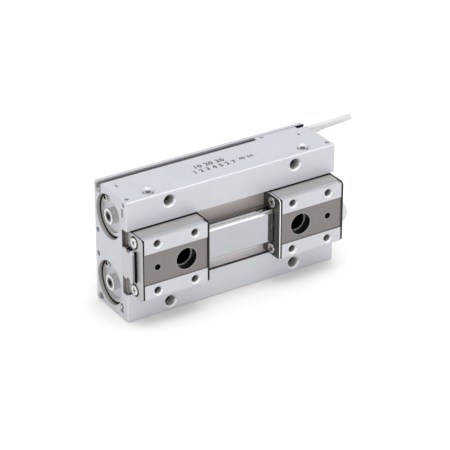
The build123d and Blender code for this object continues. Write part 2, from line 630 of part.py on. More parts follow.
def finger_block():
    """Left finger: a block that straddles the rail, with the holes for the user's jaw."""
    left, right = FINGER_OUTER + PLATE_THICKNESS, FINGER_INNER - PLATE_THICKNESS
    piece = block(left, right, FINGER_FRONT, FINGER_BACK, FINGER_LOW, FINGER_HIGH)
    front_edges = piece.faces().sort_by(Axis.Y)[0].edges().filter_by(Axis.X)
    piece = chamfer(front_edges, FINGER_CHAMFER)
    half = RAIL_WIDTH / 2 + RAIL_GAP
    piece -= block(left - PAST, right + PAST, RAIL_FRONT - RAIL_GAP, FINGER_BACK + PAST,
                   MID_Z - half, MID_Z + half)
    band = BAND_HEIGHT / 2
    piece -= block(left - PAST, right + PAST, FINGER_FRONT - PAST, FINGER_FRONT + BAND_DEPTH,
                   MID_Z - band, MID_Z + band)
    shoulder = FINGER_FRONT + SHOULDER_FROM_FRONT
    for low, high in ((FINGER_LOW - PAST, FINGER_LOW + SHOULDER_DEPTH),
                      (FINGER_HIGH - SHOULDER_DEPTH, FINGER_HIGH + PAST)):
        piece -= block(left - PAST, right + PAST, FINGER_FRONT - PAST, shoulder, low, high)
    for side in (-1, 1):
        z = MID_Z + side * BALL_ROW_OFFSET
        piece -= rod_x(BALL_RADIUS + BALL_PLAY, left - PAST, right + PAST, BALL_ROW_Y, z)

    for step_x in (-1, 1):
        x = FINGER_HOLE_X + step_x * FINGER_HOLE_PITCH_X / 2
        for step_z in (-1, 1):
            point = (x, FINGER_FRONT, MID_Z + step_z * FINGER_HOLE_PITCH_Z / 2)
            piece -= hole(point, (0, -1, 0), FINGER_TAP_RADIUS, FINGER_TAP_DEPTH, FINGER_TAP_MOUTH)
    front = FINGER_FRONT + BAND_DEPTH
    pin_x = FINGER_HOLE_X - FINGER_HOLE_PITCH_X / 2
    piece -= hole((pin_x, front, MID_Z), (0, -1, 0), FINGER_PIN_RADIUS, FINGER_PIN_DEPTH)
    piece -= rod_y(ACCESS_RADIUS, FINGER_FRONT - PAST, RAIL_FRONT, -BOLT_X, MID_Z)
    joint_depth = JOINT_IN_FINGER + SLIP
    piece -= hole((JOINT_X, FINGER_BACK, JOINT_Z), (0, 1, 0), JOINT_RADIUS + PRESS, joint_depth)
    for x, outward in ((left, -1), (right, 1)):
        for z in plate_screw_heights():
            point = (x, PLATE_SCREW_Y, z)
            depth = PLATE_SCREW_LENGTH
            piece -= hole(point, (outward, 0, 0), PLATE_SCREW_RADIUS + PRESS, depth)
    return piece


def plate_screw_heights():
    return (MID_Z - PLATE_SCREW_SPACING / 2, MID_Z + PLATE_SCREW_SPACING / 2)


def end_plate(x):
    """Stainless plate that closes the ball rows, cut out around the rail; x is its left face."""
    depth = FINGER_BACK - FINGER_FRONT
    outline = Pos((FINGER_FRONT + FINGER_BACK) / 2, MID_Z) * Rectangle(depth, FINGER_HEIGHT)
    front_corners = outline.vertices().sort_by(Axis.X)[:2]
    outline = chamfer(front_corners, PLATE_CORNER)
    notch_front = RAIL_FRONT - PLATE_RAIL_GAP
    notch_width = RAIL_WIDTH + 2 * PLATE_RAIL_GAP
    notch_depth = FINGER_BACK + PAST - notch_front
    outline -= Pos(notch_front + notch_depth / 2, MID_Z) * Rectangle(notch_depth, notch_width)
    for z in plate_screw_heights():
        outline -= Pos(PLATE_SCREW_Y, z) * Circle(PLATE_SCREW_RADIUS + 2 * SLIP)
    face = Plane(origin=(x, 0, 0), x_dir=(0, 1, 0), z_dir=(1, 0, 0))
    return face.location * extrude(outline, PLATE_THICKNESS)


def plate_screws():
    """Pan head screws of both end plates of the left finger."""
    screws = []
    for face, outward in ((FINGER_OUTER, -1), (FINGER_INNER, 1)):
        for z in plate_screw_heights():
            head = rod_x(PLATE_SCREW_HEAD_RADIUS, face, face + outward * PLATE_SCREW_HEAD, PLATE_SCREW_Y, z)
            rim = head.faces().sort_by(Axis.X)[0 if outward < 0 else -1].edges()
            head = chamfer(rim, PLATE_SCREW_HEAD / 3)
            shank_end = face - outward * PLATE_SCREW_LENGTH
            screws.append(head + rod_x(PLATE_SCREW_RADIUS, face, shank_end, PLATE_SCREW_Y, z))
    return screws


def guide_balls():
    """The loaded balls of both rows of the left finger."""
    first = -FINGER_CENTRE - BALL_PITCH * (BALLS_IN_ROW - 1) / 2
    balls = []
    for side in (-1, 1):
        for index in range(BALLS_IN_ROW):
            place = Pos(first + index * BALL_PITCH, BALL_ROW_Y, MID_Z + side * BALL_ROW_OFFSET)
            balls.append(place * Sphere(BALL_RADIUS))
    return balls


def switch(face, inward):
    """Position switch that fills a length of the sensor groove."""
    axis = face + inward * GROOVE_AXIS
    body = rod_x(GROOVE_RADIUS - SWITCH_GAP, SWITCH_LEFT, SWITCH_RIGHT, GROOVE_Y, axis)
    low, high = sorted((axis, face + inward * SWITCH_SINK))
    half = SWITCH_NECK / 2
    body += block(SWITCH_LEFT, SWITCH_RIGHT, GROOVE_Y - half, GROOVE_Y + half, low, high)
    return body - hole((SET_SCREW_X, GROOVE_Y, face + inward * SWITCH_SINK), (0, 0, -inward),
                       SET_SCREW_RADIUS + PRESS, SET_SCREW_LENGTH)


def set_screw(face, inward):
    """Slotted set screw that locks a switch in its groove."""
    top = face + inward * SWITCH_SINK
    end = top + inward * SET_SCREW_LENGTH
    screw = rod_z(SET_SCREW_RADIUS, top, end, SET_SCREW_X, GROOVE_Y)
    slot = SET_SCREW_RADIUS / 4
    low, high = sorted((top - inward * PAST, top + inward * SET_SCREW_RADIUS / 2))
    return screw - block(SET_SCREW_X - PAST - SET_SCREW_RADIUS, SET_SCREW_X + PAST + SET_SCREW_RADIUS,
                         GROOVE_Y - slot, GROOVE_Y + slot, low, high)


UPPER_GROOVE_Z = BODY_HEIGHT - GROOVE_AXIS
LOWER_GROOVE_Z = GROOVE_AXIS
FLOOR_LEAD = LEAD_RADIUS + 0.05
UPPER_COIL_TOP = UPPER_COIL_HEIGHT - FLOOR_LEAD
LOWER_COIL_TOP = LOWER_COIL_HEIGHT - FLOOR_LEAD

# Routes of the leads, from the switch to the coil, and from the coil to the bare end
UPPER_ROUTE = [
    (SWITCH_RIGHT, GROOVE_Y, UPPER_GROOVE_Z),
    (62.0, GROOVE_Y, UPPER_GROOVE_Z),
    (76.0, 14.6, 56.6),
    (84.5, 21.8, 52.1),
    (84.5, 31.9, 45.6),
    (76.0, 39.0, 40.6),
    (65.5, 40.5, 34.2),
    (55.5, 38.6, 26.2),
    (46.5, 35.8, 18.2),
    (38.0, 32.5, 11.5),
    (28.5, 30.9, 4.6),
    (19.0, 30.6, 1.4),
    (11.0, 31.4, FLOOR_LEAD),
]
LOWER_ROUTE = [
    (SWITCH_RIGHT, GROOVE_Y, LOWER_GROOVE_Z),
    (60.5, GROOVE_Y, LOWER_GROOVE_Z),
    (72.5, 15.4, 1.5),
    (84.0, 17.6, FLOOR_LEAD),
    (93.5, 25.4, FLOOR_LEAD),
    (95.6, 37.6, FLOOR_LEAD),
    (90.0, 48.8, FLOOR_LEAD),
    (80.0, 56.8, FLOOR_LEAD),
    (66.5, 62.0, FLOOR_LEAD),
    (52.5, 63.8, FLOOR_LEAD),
]
UPPER_TAIL = [
    (-8.3, 51.0, UPPER_COIL_TOP),
    (-8.7, 60.0, 3.2),
    (-5.5, 68.0, FLOOR_LEAD),
    (1.0, 73.8, FLOOR_LEAD),
]
LOWER_TAIL = [
    (42.0, 63.3, LOWER_COIL_TOP),
    (34.2, 64.3, 5.2),
    (27.3, 67.6, 2.8),
    (21.8, 73.0, FLOOR_LEAD),
    (17.6, 79.4, FLOOR_LEAD),
]


def lead_tube(name, points):
    """Tube along straight runs joined by arcs as large as the runs allow."""
    vectors = [Vector(*point) for point in points]
    radii = []
    for before, here, after in zip(vectors, vectors[1:], vectors[2:]):
        turn = math.radians((here - before).get_angle(after - here))
        shorter = min((here - before).length, (after - here).length)
        radii.append(0.45 * shorter / math.tan(turn / 2))
    runs = [(b - a).length for a, b in zip(vectors, vectors[1:])]
    path = FilletPolyline(*points, radius=radii)
    start = Plane(origin=path @ 0, z_dir=path % 0)
    tube = sweep(start * Circle(LEAD_RADIUS), path=path)
    expected = math.pi * LEAD_RADIUS ** 2 * path.length
    print(f"{name} runs {[round(r, 1) for r in runs]} radii {[round(r, 1) for r in radii]}")
    print(f"{name} length {path.length:.1f} volume {tube.volume:.1f}, expected {expected:.1f}")
    return tube


def lead_coil(centre, height):
    """Outer shape of a neat coil lying flat behind the body."""
    section = Pos(COIL_RADIUS, height / 2) * RectangleRounded(COIL_WIDTH, height, COIL_EDGE)
    ring = revolve(Plane.XZ * section, Axis.Z)
    return Pos(centre[0], centre[1], 0) * ring


def lead_cores(points):
    """Three bare cores at the stripped end of a lead."""
    end, before = Vector(*points[-1]), Vector(*points[-2])
    along = (end - before).normalized()
    plane = Plane(origin=end, z_dir=along)
    cores = []
    for angle in (90, 210, 330):
        offset = (CORE_SPREAD * math.cos(math.radians(angle)), CORE_SPREAD * math.sin(math.radians(angle)), 0)
        core = Pos(*offset) * Pos(0, 0, CORE_LENGTH / 2) * Cylinder(CORE_RADIUS, CORE_LENGTH)
        cores.append(plane.location * core)
    return cores


def main():
    os.makedirs("parts", exist_ok=True)

    save("housing", housing())
    save("guide_rail", guide_rail())
    save("rail_screws", rail_screw(-RAIL_SCREW_X), rail_screw(RAIL_SCREW_X))
    names = {(-1, UPPER_Z): "upper_left_cap", (1, UPPER_Z): "upper_right_cap",
             (-1, LOWER_Z): "lower_left_cap", (1, LOWER_Z): "lower_right_cap"}
    for (side, z), name in names.items():
        save(name, end_cap(side, z, with_port=side < 0))
    save("cap_seals", *[cap_seal(side, z) for side, z in BORE_ENDS])
    save("cap_bumpers", *[cap_bumper(side, z) for side, z in BORE_ENDS])
    save("cap_circlips", *[circlip(side, z) for side, z in BORE_ENDS])
    save("cap_plugs", cap_plug(-1, UPPER_Z), cap_plug(-1, LOWER_Z))
    save("port_plugs", port_plug(-PORT_X), port_plug(PORT_X))
    save("passage_balls", *passage_balls())

    save("pinion", pinion())
    save("pinion_bush", pinion_bush())
    save("pinion_shaft", pinion_shaft())
    save("pinion_cover", pinion_cover())

    sides = (("left", "upper", lambda piece: piece), ("right", "lower", turned))
    for finger, bore, place in sides:
        save(f"{finger}_finger_block", place(finger_block()))
        save(f"{finger}_outer_plate", place(end_plate(FINGER_OUTER)))
        save(f"{finger}_inner_plate", place(end_plate(FINGER_INNER - PLATE_THICKNESS)))
        save(f"{finger}_plate_screws", *[place(screw) for screw in plate_screws()])
        save(f"{finger}_guide_balls", *[place(ball) for ball in guide_balls()])
        save(f"{finger}_joint_pin", place(joint_pin()))
        save(f"{bore}_piston", place(piston()))
        save(f"{bore}_piston_seals", *[place(seal) for seal in piston_seals()])
        save(f"{bore}_piston_magnets", *[place(magnet) for magnet in piston_magnets()])

    save("upper_switch", switch(BODY_HEIGHT, -1))
    save("lower_switch", switch(0, 1))
    save("switch_screws", set_screw(BODY_HEIGHT, -1), set_screw(0, 1))
    save("upper_lead", lead_tube("upper lead", UPPER_ROUTE), lead_tube("upper tail", UPPER_TAIL))
    save("lower_lead", lead_tube("lower lead", LOWER_ROUTE), lead_tube("lower tail", LOWER_TAIL))
    save("upper_lead_coil", lead_coil(UPPER_COIL, UPPER_COIL_HEIGHT))
    save("lower_lead_coil", lead_coil(LOWER_COIL, LOWER_COIL_HEIGHT))
    save("upper_lead_cores", *lead_cores(UPPER_TAIL))
    save("lower_lead_cores", *lead_cores(LOWER_TAIL))


main()
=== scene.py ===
# %% [markdown]
# A low profile pneumatic gripper stands on its long side on a white studio floor. The rigid pieces
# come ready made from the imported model, which is the frame of this scene, and they are never moved.
# What is added here is what a machinist, an anodiser and an electrician add: the finishes, the
# threads in the holes, the screws with their cross recesses, the printed numbers and the two leads.

# %% Load the frame
import json
import math
import bmesh
import bpy
from mathutils import Matrix, Vector


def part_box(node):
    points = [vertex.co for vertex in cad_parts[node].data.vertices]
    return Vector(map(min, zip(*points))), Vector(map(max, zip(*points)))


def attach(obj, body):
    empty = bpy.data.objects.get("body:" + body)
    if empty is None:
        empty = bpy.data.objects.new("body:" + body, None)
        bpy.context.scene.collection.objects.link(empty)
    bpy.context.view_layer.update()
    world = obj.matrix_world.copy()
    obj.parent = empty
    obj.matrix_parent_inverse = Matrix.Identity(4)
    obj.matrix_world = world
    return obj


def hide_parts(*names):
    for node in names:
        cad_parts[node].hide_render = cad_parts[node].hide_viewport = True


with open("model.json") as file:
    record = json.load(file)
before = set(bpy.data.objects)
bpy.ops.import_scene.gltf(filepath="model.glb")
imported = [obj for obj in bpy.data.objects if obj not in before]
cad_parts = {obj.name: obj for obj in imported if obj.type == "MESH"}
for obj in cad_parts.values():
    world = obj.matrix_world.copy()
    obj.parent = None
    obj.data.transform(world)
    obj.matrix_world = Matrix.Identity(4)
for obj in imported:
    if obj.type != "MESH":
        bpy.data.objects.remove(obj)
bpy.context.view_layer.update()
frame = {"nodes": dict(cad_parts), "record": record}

nodes = frame["nodes"]

# %% [markdown]
# Sizes are named once. The body's own box comes from the frame, so a face is found by asking the
# housing where it is, and a pattern follows when the model changes. Typing the numbers again would
# also work, until the model moves by half a millimetre. One millimetre is MM metres.

# %% Main places of the body
MM = 0.001
body_low, body_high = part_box("housing")
rail_low, rail_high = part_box("guide_rail")
block_low, block_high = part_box("left_finger_block")
MID_Z = (body_low.z + body_high.z) / 2
MID_Y = (rail_low.y + body_high.y) / 2
FINGER_FRONT = block_low.y
FINGER_OUTER_END = -block_low.x
FINGER_INNER_END = -block_high.x
print("body", [round(v / MM, 2) for v in body_high - body_low])
print("finger front", round(FINGER_FRONT / MM, 2))

# %% [markdown]
# The camera comes first. The photo was taken with a long lens from the front left and above, so
# parallel edges stay nearly parallel. The camera looks straight along its own axis, and a small
# shift moves the picture, as a view camera's rising front does, so that upright edges stay upright.

# %% Camera
CAMERA_AZIMUTH = math.radians(-32.33)
CAMERA_ELEVATION = math.radians(28.02)
CAMERA_DISTANCE = 0.958
LENS = 172.8
SHIFT = (0.0125, -0.0062)
target = Vector((0, MID_Y, MID_Z))
back = Vector((math.sin(CAMERA_AZIMUTH) * math.cos(CAMERA_ELEVATION),
               -math.cos(CAMERA_AZIMUTH) * math.cos(CAMERA_ELEVATION),
               math.sin(CAMERA_ELEVATION)))
camera_data = bpy.data.cameras.new("camera")
camera_data.lens = LENS
camera_data.shift_x, camera_data.shift_y = SHIFT
camera = bpy.data.objects.new("camera", camera_data)
camera.location = target + back * CAMERA_DISTANCE
camera.rotation_euler = back.to_track_quat("Z", "Y").to_euler()
bpy.context.scene.collection.objects.link(camera)
bpy.context.scene.camera = camera
print("camera", [round(v, 3) for v in camera.location])

# %% [markdown]
# The floor is one wide plane. It could be a curved sweep of paper, but from this height only a
# flat part of it would be in sight, so a plane does. It is matt and has no gloss at all, so that it
# takes the soft shadow of the body and shows no mirror image of it.

# %% Floor
FLOOR_SIDE = 6.0
FLOOR_WHITE = (0.93, 0.905, 0.89)
FLOOR_ROUGHNESS = 0.9


def clear_selection():
    """Nothing selected, so that the next operator works on its own piece alone."""
    if bpy.context.object and bpy.context.object.mode != "OBJECT":
        bpy.ops.object.mode_set(mode="OBJECT")
    bpy.ops.object.select_all(action="DESELECT")


clear_selection()
bpy.ops.mesh.primitive_plane_add(size=FLOOR_SIDE, location=(0, 0, 0))
floor = bpy.context.object
floor.name = "floor"
floor_finish = bpy.data.materials.new("white_floor")
floor_finish.use_nodes = True
floor_shader = floor_finish.node_tree.nodes["Principled BSDF"]
floor_shader.inputs["Base Color"].default_value = (*FLOOR_WHITE, 1)
floor_shader.inputs["Roughness"].default_value = FLOOR_ROUGHNESS
floor_shader.inputs["Specular IOR Level"].default_value = 0.0
floor.data.materials.append(floor_finish)
print("floor", FLOOR_SIDE, "m wide")

# %% [markdown]
# The light comes first from a white sky. Lamps alone would need to be many to be so soft, while a
# sky lights from all sides and gives the soft grey shadow where the body meets the floor. It is
# brighter overhead than at the horizon, as a studio with a large ceiling light is, so the top face
# comes out lighter than the front.

# %% Sky
SKY_COLOUR = (0.985, 0.992, 1.0)
SKY_AT_HORIZON = 0.37
SKY_OVERHEAD = 1.33
world = bpy.data.worlds.new("studio")
bpy.context.scene.world = world
world.use_nodes = True
sky = world.node_tree.nodes["Background"]
sky.inputs["Color"].default_value = (*SKY_COLOUR, 1)
direction = world.node_tree.nodes.new("ShaderNodeTexCoord")
height = world.node_tree.nodes.new("ShaderNodeSeparateXYZ")
brighter = world.node_tree.nodes.new("ShaderNodeMapRange")
brighter.inputs["To Min"].default_value = SKY_AT_HORIZON
brighter.inputs["To Max"].default_value = SKY_OVERHEAD
world.node_tree.links.new(direction.outputs["Generated"], height.inputs["Vector"])
world.node_tree.links.new(height.outputs["Z"], brighter.inputs["Value"])
world.node_tree.links.new(brighter.outputs["Result"], sky.inputs["Strength"])
print("sky", SKY_AT_HORIZON, "to", SKY_OVERHEAD)

# %% [markdown]
# Two square lamps shape the metal, as a photographer's soft boxes do. The key lamp above makes the
# top face lighter still, and a low one from the front left lifts the front. They are large and
# weak, because a small strong lamp would draw hard shadows beside the fingers.

# %% Lamps
LAMPS = {
    "key": {"place": (0.0, -0.2, 1.35), "size": 0.7, "power": 5.6, "colour": (1.0, 0.995, 0.985)},
    "fill": {"place": (-0.2, -1.1, 0.10), "size": 0.6, "power": 3.6, "colour": (0.98, 0.99, 1.0)}}


def area_lamp(name, place, size, power, colour):
    """A square lamp that looks at the body."""
    data = bpy.data.lights.new(name, "AREA")
    data.size = size
    data.energy = power
    data.color = colour
    lamp = bpy.data.objects.new(name, data)
    lamp.location = place
    lamp.rotation_euler = (Vector(place) - target).to_track_quat("Z", "Y").to_euler()
    bpy.context.scene.collection.objects.link(lamp)


for name, settings in LAMPS.items():
    area_lamp(name, **settings)
bpy.context.scene.view_settings.view_transform = "Standard"
print("lamps", len(bpy.data.lights))

# %% [markdown]
# A finish is a small node tree: a base colour that varies a little from place to place, a roughness
# that varies with it, and a fine bump for the grain. A photo of real metal could be wrapped round
# the piece instead, but noise has no seams and no fixed resolution. The patterns are read from
# Object coordinates, in metres, so one unit of noise is a real size on the metal, and nothing
# slides when it moves.

# %% A finish with grain
GRAIN_DETAIL = 3.0
CLOUDS_IN_A_METRE = 90.0
RAMP_ENDS = (0.3, 0.7)
ROUGHNESS_SPREAD = 0.05
LEAST_ROUGHNESS = 0.03
RELIEF_STRENGTH = 0.5
finishes = {}


def finish(name, colour, metallic, roughness, grain, variety, bump, stretch=(1, 1, 1)):
    """A material whose grain, in millimetres, is stretched along the axes by a factor each."""
    material = bpy.data.materials.new(name)
    material.use_nodes = True
    tree = material.node_tree
    shader = tree.nodes["Principled BSDF"]
    shader.inputs["Metallic"].default_value = metallic
    place = tree.nodes.new("ShaderNodeTexCoord")
    mapping = tree.nodes.new("ShaderNodeMapping")
    mapping.inputs["Scale"].default_value = [1 / (grain * MM * s) for s in stretch]
    tree.links.new(place.outputs["Object"], mapping.inputs["Vector"])
    noise = tree.nodes.new("ShaderNodeTexNoise")
    noise.inputs["Scale"].default_value = 1.0
    noise.inputs["Detail"].default_value = GRAIN_DETAIL
    tree.links.new(mapping.outputs["Vector"], noise.inputs["Vector"])
    cloud = tree.nodes.new("ShaderNodeTexNoise")
    cloud.inputs["Scale"].default_value = CLOUDS_IN_A_METRE
    tree.links.new(place.outputs["Object"], cloud.inputs["Vector"])
    mixed = tree.nodes.new("ShaderNodeMix")
    mixed.inputs[0].default_value = 0.5
    tree.links.new(noise.outputs["Fac"], mixed.inputs[2])
    tree.links.new(cloud.outputs["Fac"], mixed.inputs[3])
    ramp = tree.nodes.new("ShaderNodeValToRGB")
    for element, position, factor in zip(ramp.color_ramp.elements, RAMP_ENDS, (1 - variety, 1 + variety)):
        element.position = position
        element.color = (*[min(1.0, c * factor) for c in colour], 1)
    tree.links.new(mixed.outputs[0], ramp.inputs["Fac"])
    tree.links.new(ramp.outputs["Color"], shader.inputs["Base Color"])
    rough = tree.nodes.new("ShaderNodeMapRange")
    rough.inputs["To Min"].default_value = max(LEAST_ROUGHNESS, roughness - ROUGHNESS_SPREAD)
    rough.inputs["To Max"].default_value = roughness + ROUGHNESS_SPREAD
    tree.links.new(cloud.outputs["Fac"], rough.inputs["Value"])
    tree.links.new(rough.outputs["Result"], shader.inputs["Roughness"])
    relief = tree.nodes.new("ShaderNodeBump")
    relief.inputs["Strength"].default_value = RELIEF_STRENGTH
    relief.inputs["Distance"].default_value = bump * MM
    tree.links.new(noise.outputs["Fac"], relief.inputs["Height"])
    tree.links.new(relief.outputs["Normal"], shader.inputs["Normal"])
    finishes[name] = material
    return material


def set_finish(material, *names):
    """Give CAD nodes or new pieces one finish all over."""
    for name in names:
        piece = nodes[name] if isinstance(name, str) else name
        piece.data.materials.clear()
        piece.data.materials.append(material)


print("finish is ready")

# %% [markdown]
# Some finishes change at a known place on one piece: the ground band across a finger is darker than
# its lands, and the wall of a deep hole is painted dark as shade. The faces could be given
# materials of their own, but the model's meshes stay as they are. So a mask is used: a few Math
# nodes that compare an Object coordinate with a named size. Each socket knows the node tree that it
# belongs to, so a mask is written as short as a sum on paper.

# %% Math nodes
def math_node(operation, *values):
    """One Math node, fed by links or plain numbers, in the tree of its first link."""
    tree = next(value.id_data for value in values if not isinstance(value, (int, float)))
    node = tree.nodes.new("ShaderNodeMath")
    node.operation = operation
    for socket, value in zip(node.inputs, values):
        if isinstance(value, (int, float)):
            socket.default_value = value
        else:
            tree.links.new(value, socket)
    return node.outputs[0]


def coordinates(material):
    """The three Object coordinates of a material as links."""
    tree = material.node_tree
    place = tree.nodes.new("ShaderNodeTexCoord")
    split = tree.nodes.new("ShaderNodeSeparateXYZ")
    tree.links.new(place.outputs["Object"], split.inputs["Vector"])
    return split.outputs


def folded(value, middle):
    """How far a coordinate is from a place, on either side of it."""
    return math_node("ABSOLUTE", math_node("SUBTRACT", value, middle))


print("math nodes are ready")

# %% [markdown]
# A mask is 1 or 0 at each point of a surface. Two masks multiplied are 1 where both hold, and the
# larger of two is 1 where either does, so a few small functions build any shape that is needed: a
# strip between two places, a disc, or a ring.

# %% Masks by place
def past(value, limit):
    """1 where a coordinate is greater than a limit."""
    return math_node("GREATER_THAN", value, limit)


def short_of(value, limit):
    """1 where a coordinate is less than a limit."""
    return math_node("LESS_THAN", value, limit)


def both(first, *others):
    """1 where all of the masks are 1."""
    for other in others:
        first = math_node("MULTIPLY", first, other)
    return first


def either(first, second):
    """1 where one of two masks is 1."""
    return math_node("MAXIMUM", first, second)


def without(mask):
    """1 where a mask is 0."""
    return math_node("SUBTRACT", 1, mask)


def between(value, low, high):
    """1 where a coordinate lies between two places."""
    return both(past(value, low), short_of(value, high))


def round_mask(across, along, radius):
    """1 inside a circle about the point where both distances are 0."""
    squares = math_node("MULTIPLY_ADD", across, across, math_node("MULTIPLY", along, along))
    return short_of(squares, radius * radius)


def ring_mask(across, along, inner, outer):
    """1 between two circles."""
    return math_node("SUBTRACT", round_mask(across, along, outer), round_mask(across, along, inner))


print("masks are ready")

# %% [markdown]
# A Mix node then lays another colour over the finish where the mask is 1, and another roughness
# where one is given. Each new Mix node takes what was there before as its first input, so a later
# mask lies over an earlier one, as coats of paint do, and the order of the next steps matters.

# %% Another colour under a mask
MIX_SOCKETS = {"RGBA": (6, 7, 2), "FLOAT": (2, 3, 0)}


def recolour(material, mask, colour, roughness=None):
    """Mix another colour into a finish where a mask is 1."""
    tree = material.node_tree
    shader = tree.nodes["Principled BSDF"]
    changes = [("Base Color", (*colour, 1), "RGBA")]
    if roughness is not None:
        changes.append(("Roughness", roughness, "FLOAT"))
    for name, value, kind in changes:
        before = shader.inputs[name].links[0].from_socket
        mix = tree.nodes.new("ShaderNodeMix")
        mix.data_type = kind
        first, second, out = MIX_SOCKETS[kind]
        tree.links.new(mask, mix.inputs[0])
        tree.links.new(before, mix.inputs[first])
        mix.inputs[second].default_value = value
        tree.links.new(mix.outputs[out], shader.inputs[name])


print("recolour is ready")

# %% [markdown]
# The two switch leads are 2.6 mm round cables. Each leaves its switch at the right end, bends down
# in a loose curve and comes to rest on the bench behind the body, where the length that the photo
# doesn't show is wound into a neat coil, and the stripped end lies beside it. A row of short tubes
# would look like bent wire, so a cord is one smooth NURBS curve: its control points are the route,
# then the turns of the coil, then the tail.

# %% Routes of the leads, in millimetres
SWITCH_RIGHT = 48.8
GROOVE_Y = 14.4
UPPER_GROOVE_Z = 56.35
LOWER_GROOVE_Z = 2.15
FLOOR_LEAD = 1.35
UPPER_ROUTE = [
    (SWITCH_RIGHT, GROOVE_Y, UPPER_GROOVE_Z), (62.0, GROOVE_Y, UPPER_GROOVE_Z), (76.0, 14.6, 56.6),
    (84.5, 21.8, 52.1), (84.5, 31.9, 45.6), (76.0, 39.0, 40.6), (65.5, 40.5, 34.2), (55.5, 38.6, 26.2),
    (46.5, 35.8, 18.2), (38.0, 32.5, 11.5), (28.5, 30.9, 4.6), (19.0, 30.6, 1.4), (11.0, 31.4, FLOOR_LEAD)]
LOWER_ROUTE = [
    (SWITCH_RIGHT, GROOVE_Y, LOWER_GROOVE_Z), (60.5, GROOVE_Y, LOWER_GROOVE_Z), (71.5, 16.6, 1.5),
    (81.0, 20.6, FLOOR_LEAD), (87.4, 28.2, FLOOR_LEAD), (87.0, 37.6, FLOOR_LEAD), (81.6, 46.2, FLOOR_LEAD),
    (73.4, 53.6, FLOOR_LEAD), (63.6, 59.8, FLOOR_LEAD), (52.5, 63.8, FLOOR_LEAD)]
UPPER_TAIL = [(-8.3, 51.0, 4.05), (-8.7, 60.0, 3.2), (-5.5, 68.0, FLOOR_LEAD), (1.0, 73.8, FLOOR_LEAD)]
LOWER_TAIL = [(42.0, 63.3, 6.75), (34.2, 64.3, 5.2), (27.3, 67.6, 2.8), (21.8, 73.0, FLOOR_LEAD),
              (17.6, 79.4, FLOOR_LEAD)]
print("routes", len(UPPER_ROUTE), len(LOWER_ROUTE))

# %% [markdown]
# The coil is worked out by a loop. A plain spiral would float above the floor or run through
# itself, so a neat hand-wound coil keeps to lanes: out on the floor, in beside that turn, up on top
# of it and out again. Each lane change is made where the turns below and beside leave room for it.
# The list gives the lane, as radius and height, after so many turns.

# %% Turns of a coil
COIL_RADIUS = 14.3
UPPER_COIL = (6.0, 46.0)
LOWER_COIL = (47.0, 49.0)
POINTS_IN_TURN = 24
LANE = 1.35
FLOOR_LANES = [(0.0, LANE, 0), (0.75, LANE, 0), (1.0, -LANE, 0), (1.58, -LANE, 0), (1.75, -LANE, 1),
               (2.37, -LANE, 1), (2.58, LANE, 1)]
TOP_LANES = [(3.1, LANE, 1), (3.37, LANE, 2)]


def lane_at(turn, lanes):
    """How far out and how high the lead lies after some turns, eased between the lanes."""
    before = lanes[0]
    for after in lanes[1:]:
        if turn < after[0]:
            part = (turn - before[0]) / (after[0] - before[0])
            ease = part * part * (3 - 2 * part)
            return before[1] + ease * (after[1] - before[1]), before[2] + ease * (after[2] - before[2])
        before = after
    return before[1], before[2]


def coil_points(centre, first, last, whole_turns, turning, lanes):
    """Points from the end of the route to the start of the tail; turning is 1 or -1."""
    start = math.atan2(first[1] - centre[1], first[0] - centre[0])
    end = math.atan2(last[1] - centre[1], last[0] - centre[0])
    sweep = whole_turns * 2 * math.pi + (turning * (end - start)) % (2 * math.pi)
    count = round(sweep / (2 * math.pi) * POINTS_IN_TURN)
    points = []
    for index in range(1, count):
        angle = start + turning * sweep * index / count
        out, layer = lane_at(sweep * index / count / (2 * math.pi), lanes)
        radius = COIL_RADIUS + out
        height = FLOOR_LEAD + layer * 2 * LANE
        points.append((centre[0] + radius * math.cos(angle), centre[1] + radius * math.sin(angle), height))
    return points


upper_coil = coil_points(UPPER_COIL, UPPER_ROUTE[-1], UPPER_TAIL[0],
                         whole_turns=3, turning=-1, lanes=FLOOR_LANES)
lower_coil = coil_points(LOWER_COIL, LOWER_ROUTE[-1], LOWER_TAIL[0],
                         whole_turns=4, turning=1, lanes=FLOOR_LANES + TOP_LANES)
print("coil points", len(upper_coil), len(lower_coil))

# %% [markdown]
# A lead has a smooth pale sheath. The curve gets its thickness from a round bevel, which follows
# every bend by itself, where a swept mesh would have to be made again each time the route changes.
# The order of the spline is set after its points, because set before, it would stay straight runs.

# %% Leads as smooth curves
LEAD_RADIUS = 1.3
lead_sheath = finish("lead_sheath", (0.62, 0.63, 0.64), metallic=0.0, roughness=0.42,
                     grain=0.5, variety=0.05, bump=0.01, stretch=(4, 1, 1))


def lead(name, points):
    """One cord from its switch through its coil to its stripped end."""
    curve = bpy.data.curves.new(name, "CURVE")
    curve.dimensions = "3D"
    curve.bevel_depth = LEAD_RADIUS * MM
    curve.bevel_resolution = 5
    curve.resolution_u = 5
    curve.use_fill_caps = True
    spline = curve.splines.new("NURBS")
    spline.points.add(len(points) - 1)
    for point, place in zip(spline.points, points):
        point.co = (place[0] * MM, place[1] * MM, place[2] * MM, 1)
    spline.order_u = 3
    spline.use_endpoint_u = True
    cord = bpy.data.objects.new(name, curve)
    bpy.context.scene.collection.objects.link(cord)
    cord.data.materials.append(lead_sheath)
    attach(cord, "body")
    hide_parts(name.replace("cord", "lead"), name.replace("cord", "lead_coil"))


lead("upper_cord", UPPER_ROUTE + upper_coil + UPPER_TAIL)
lead("lower_cord", LOWER_ROUTE + lower_coil + LOWER_TAIL)

# %% [markdown]
# The body, the caps and the switches are light metal and plastic. Anodised aluminium is a matt,
# slightly blue grey, and it was extruded along its length, so its grain is drawn out along X. A
# fully metallic shader would mirror what stands round it, where the oxide skin of the real metal
# scatters the light, so its metallic value stays low.

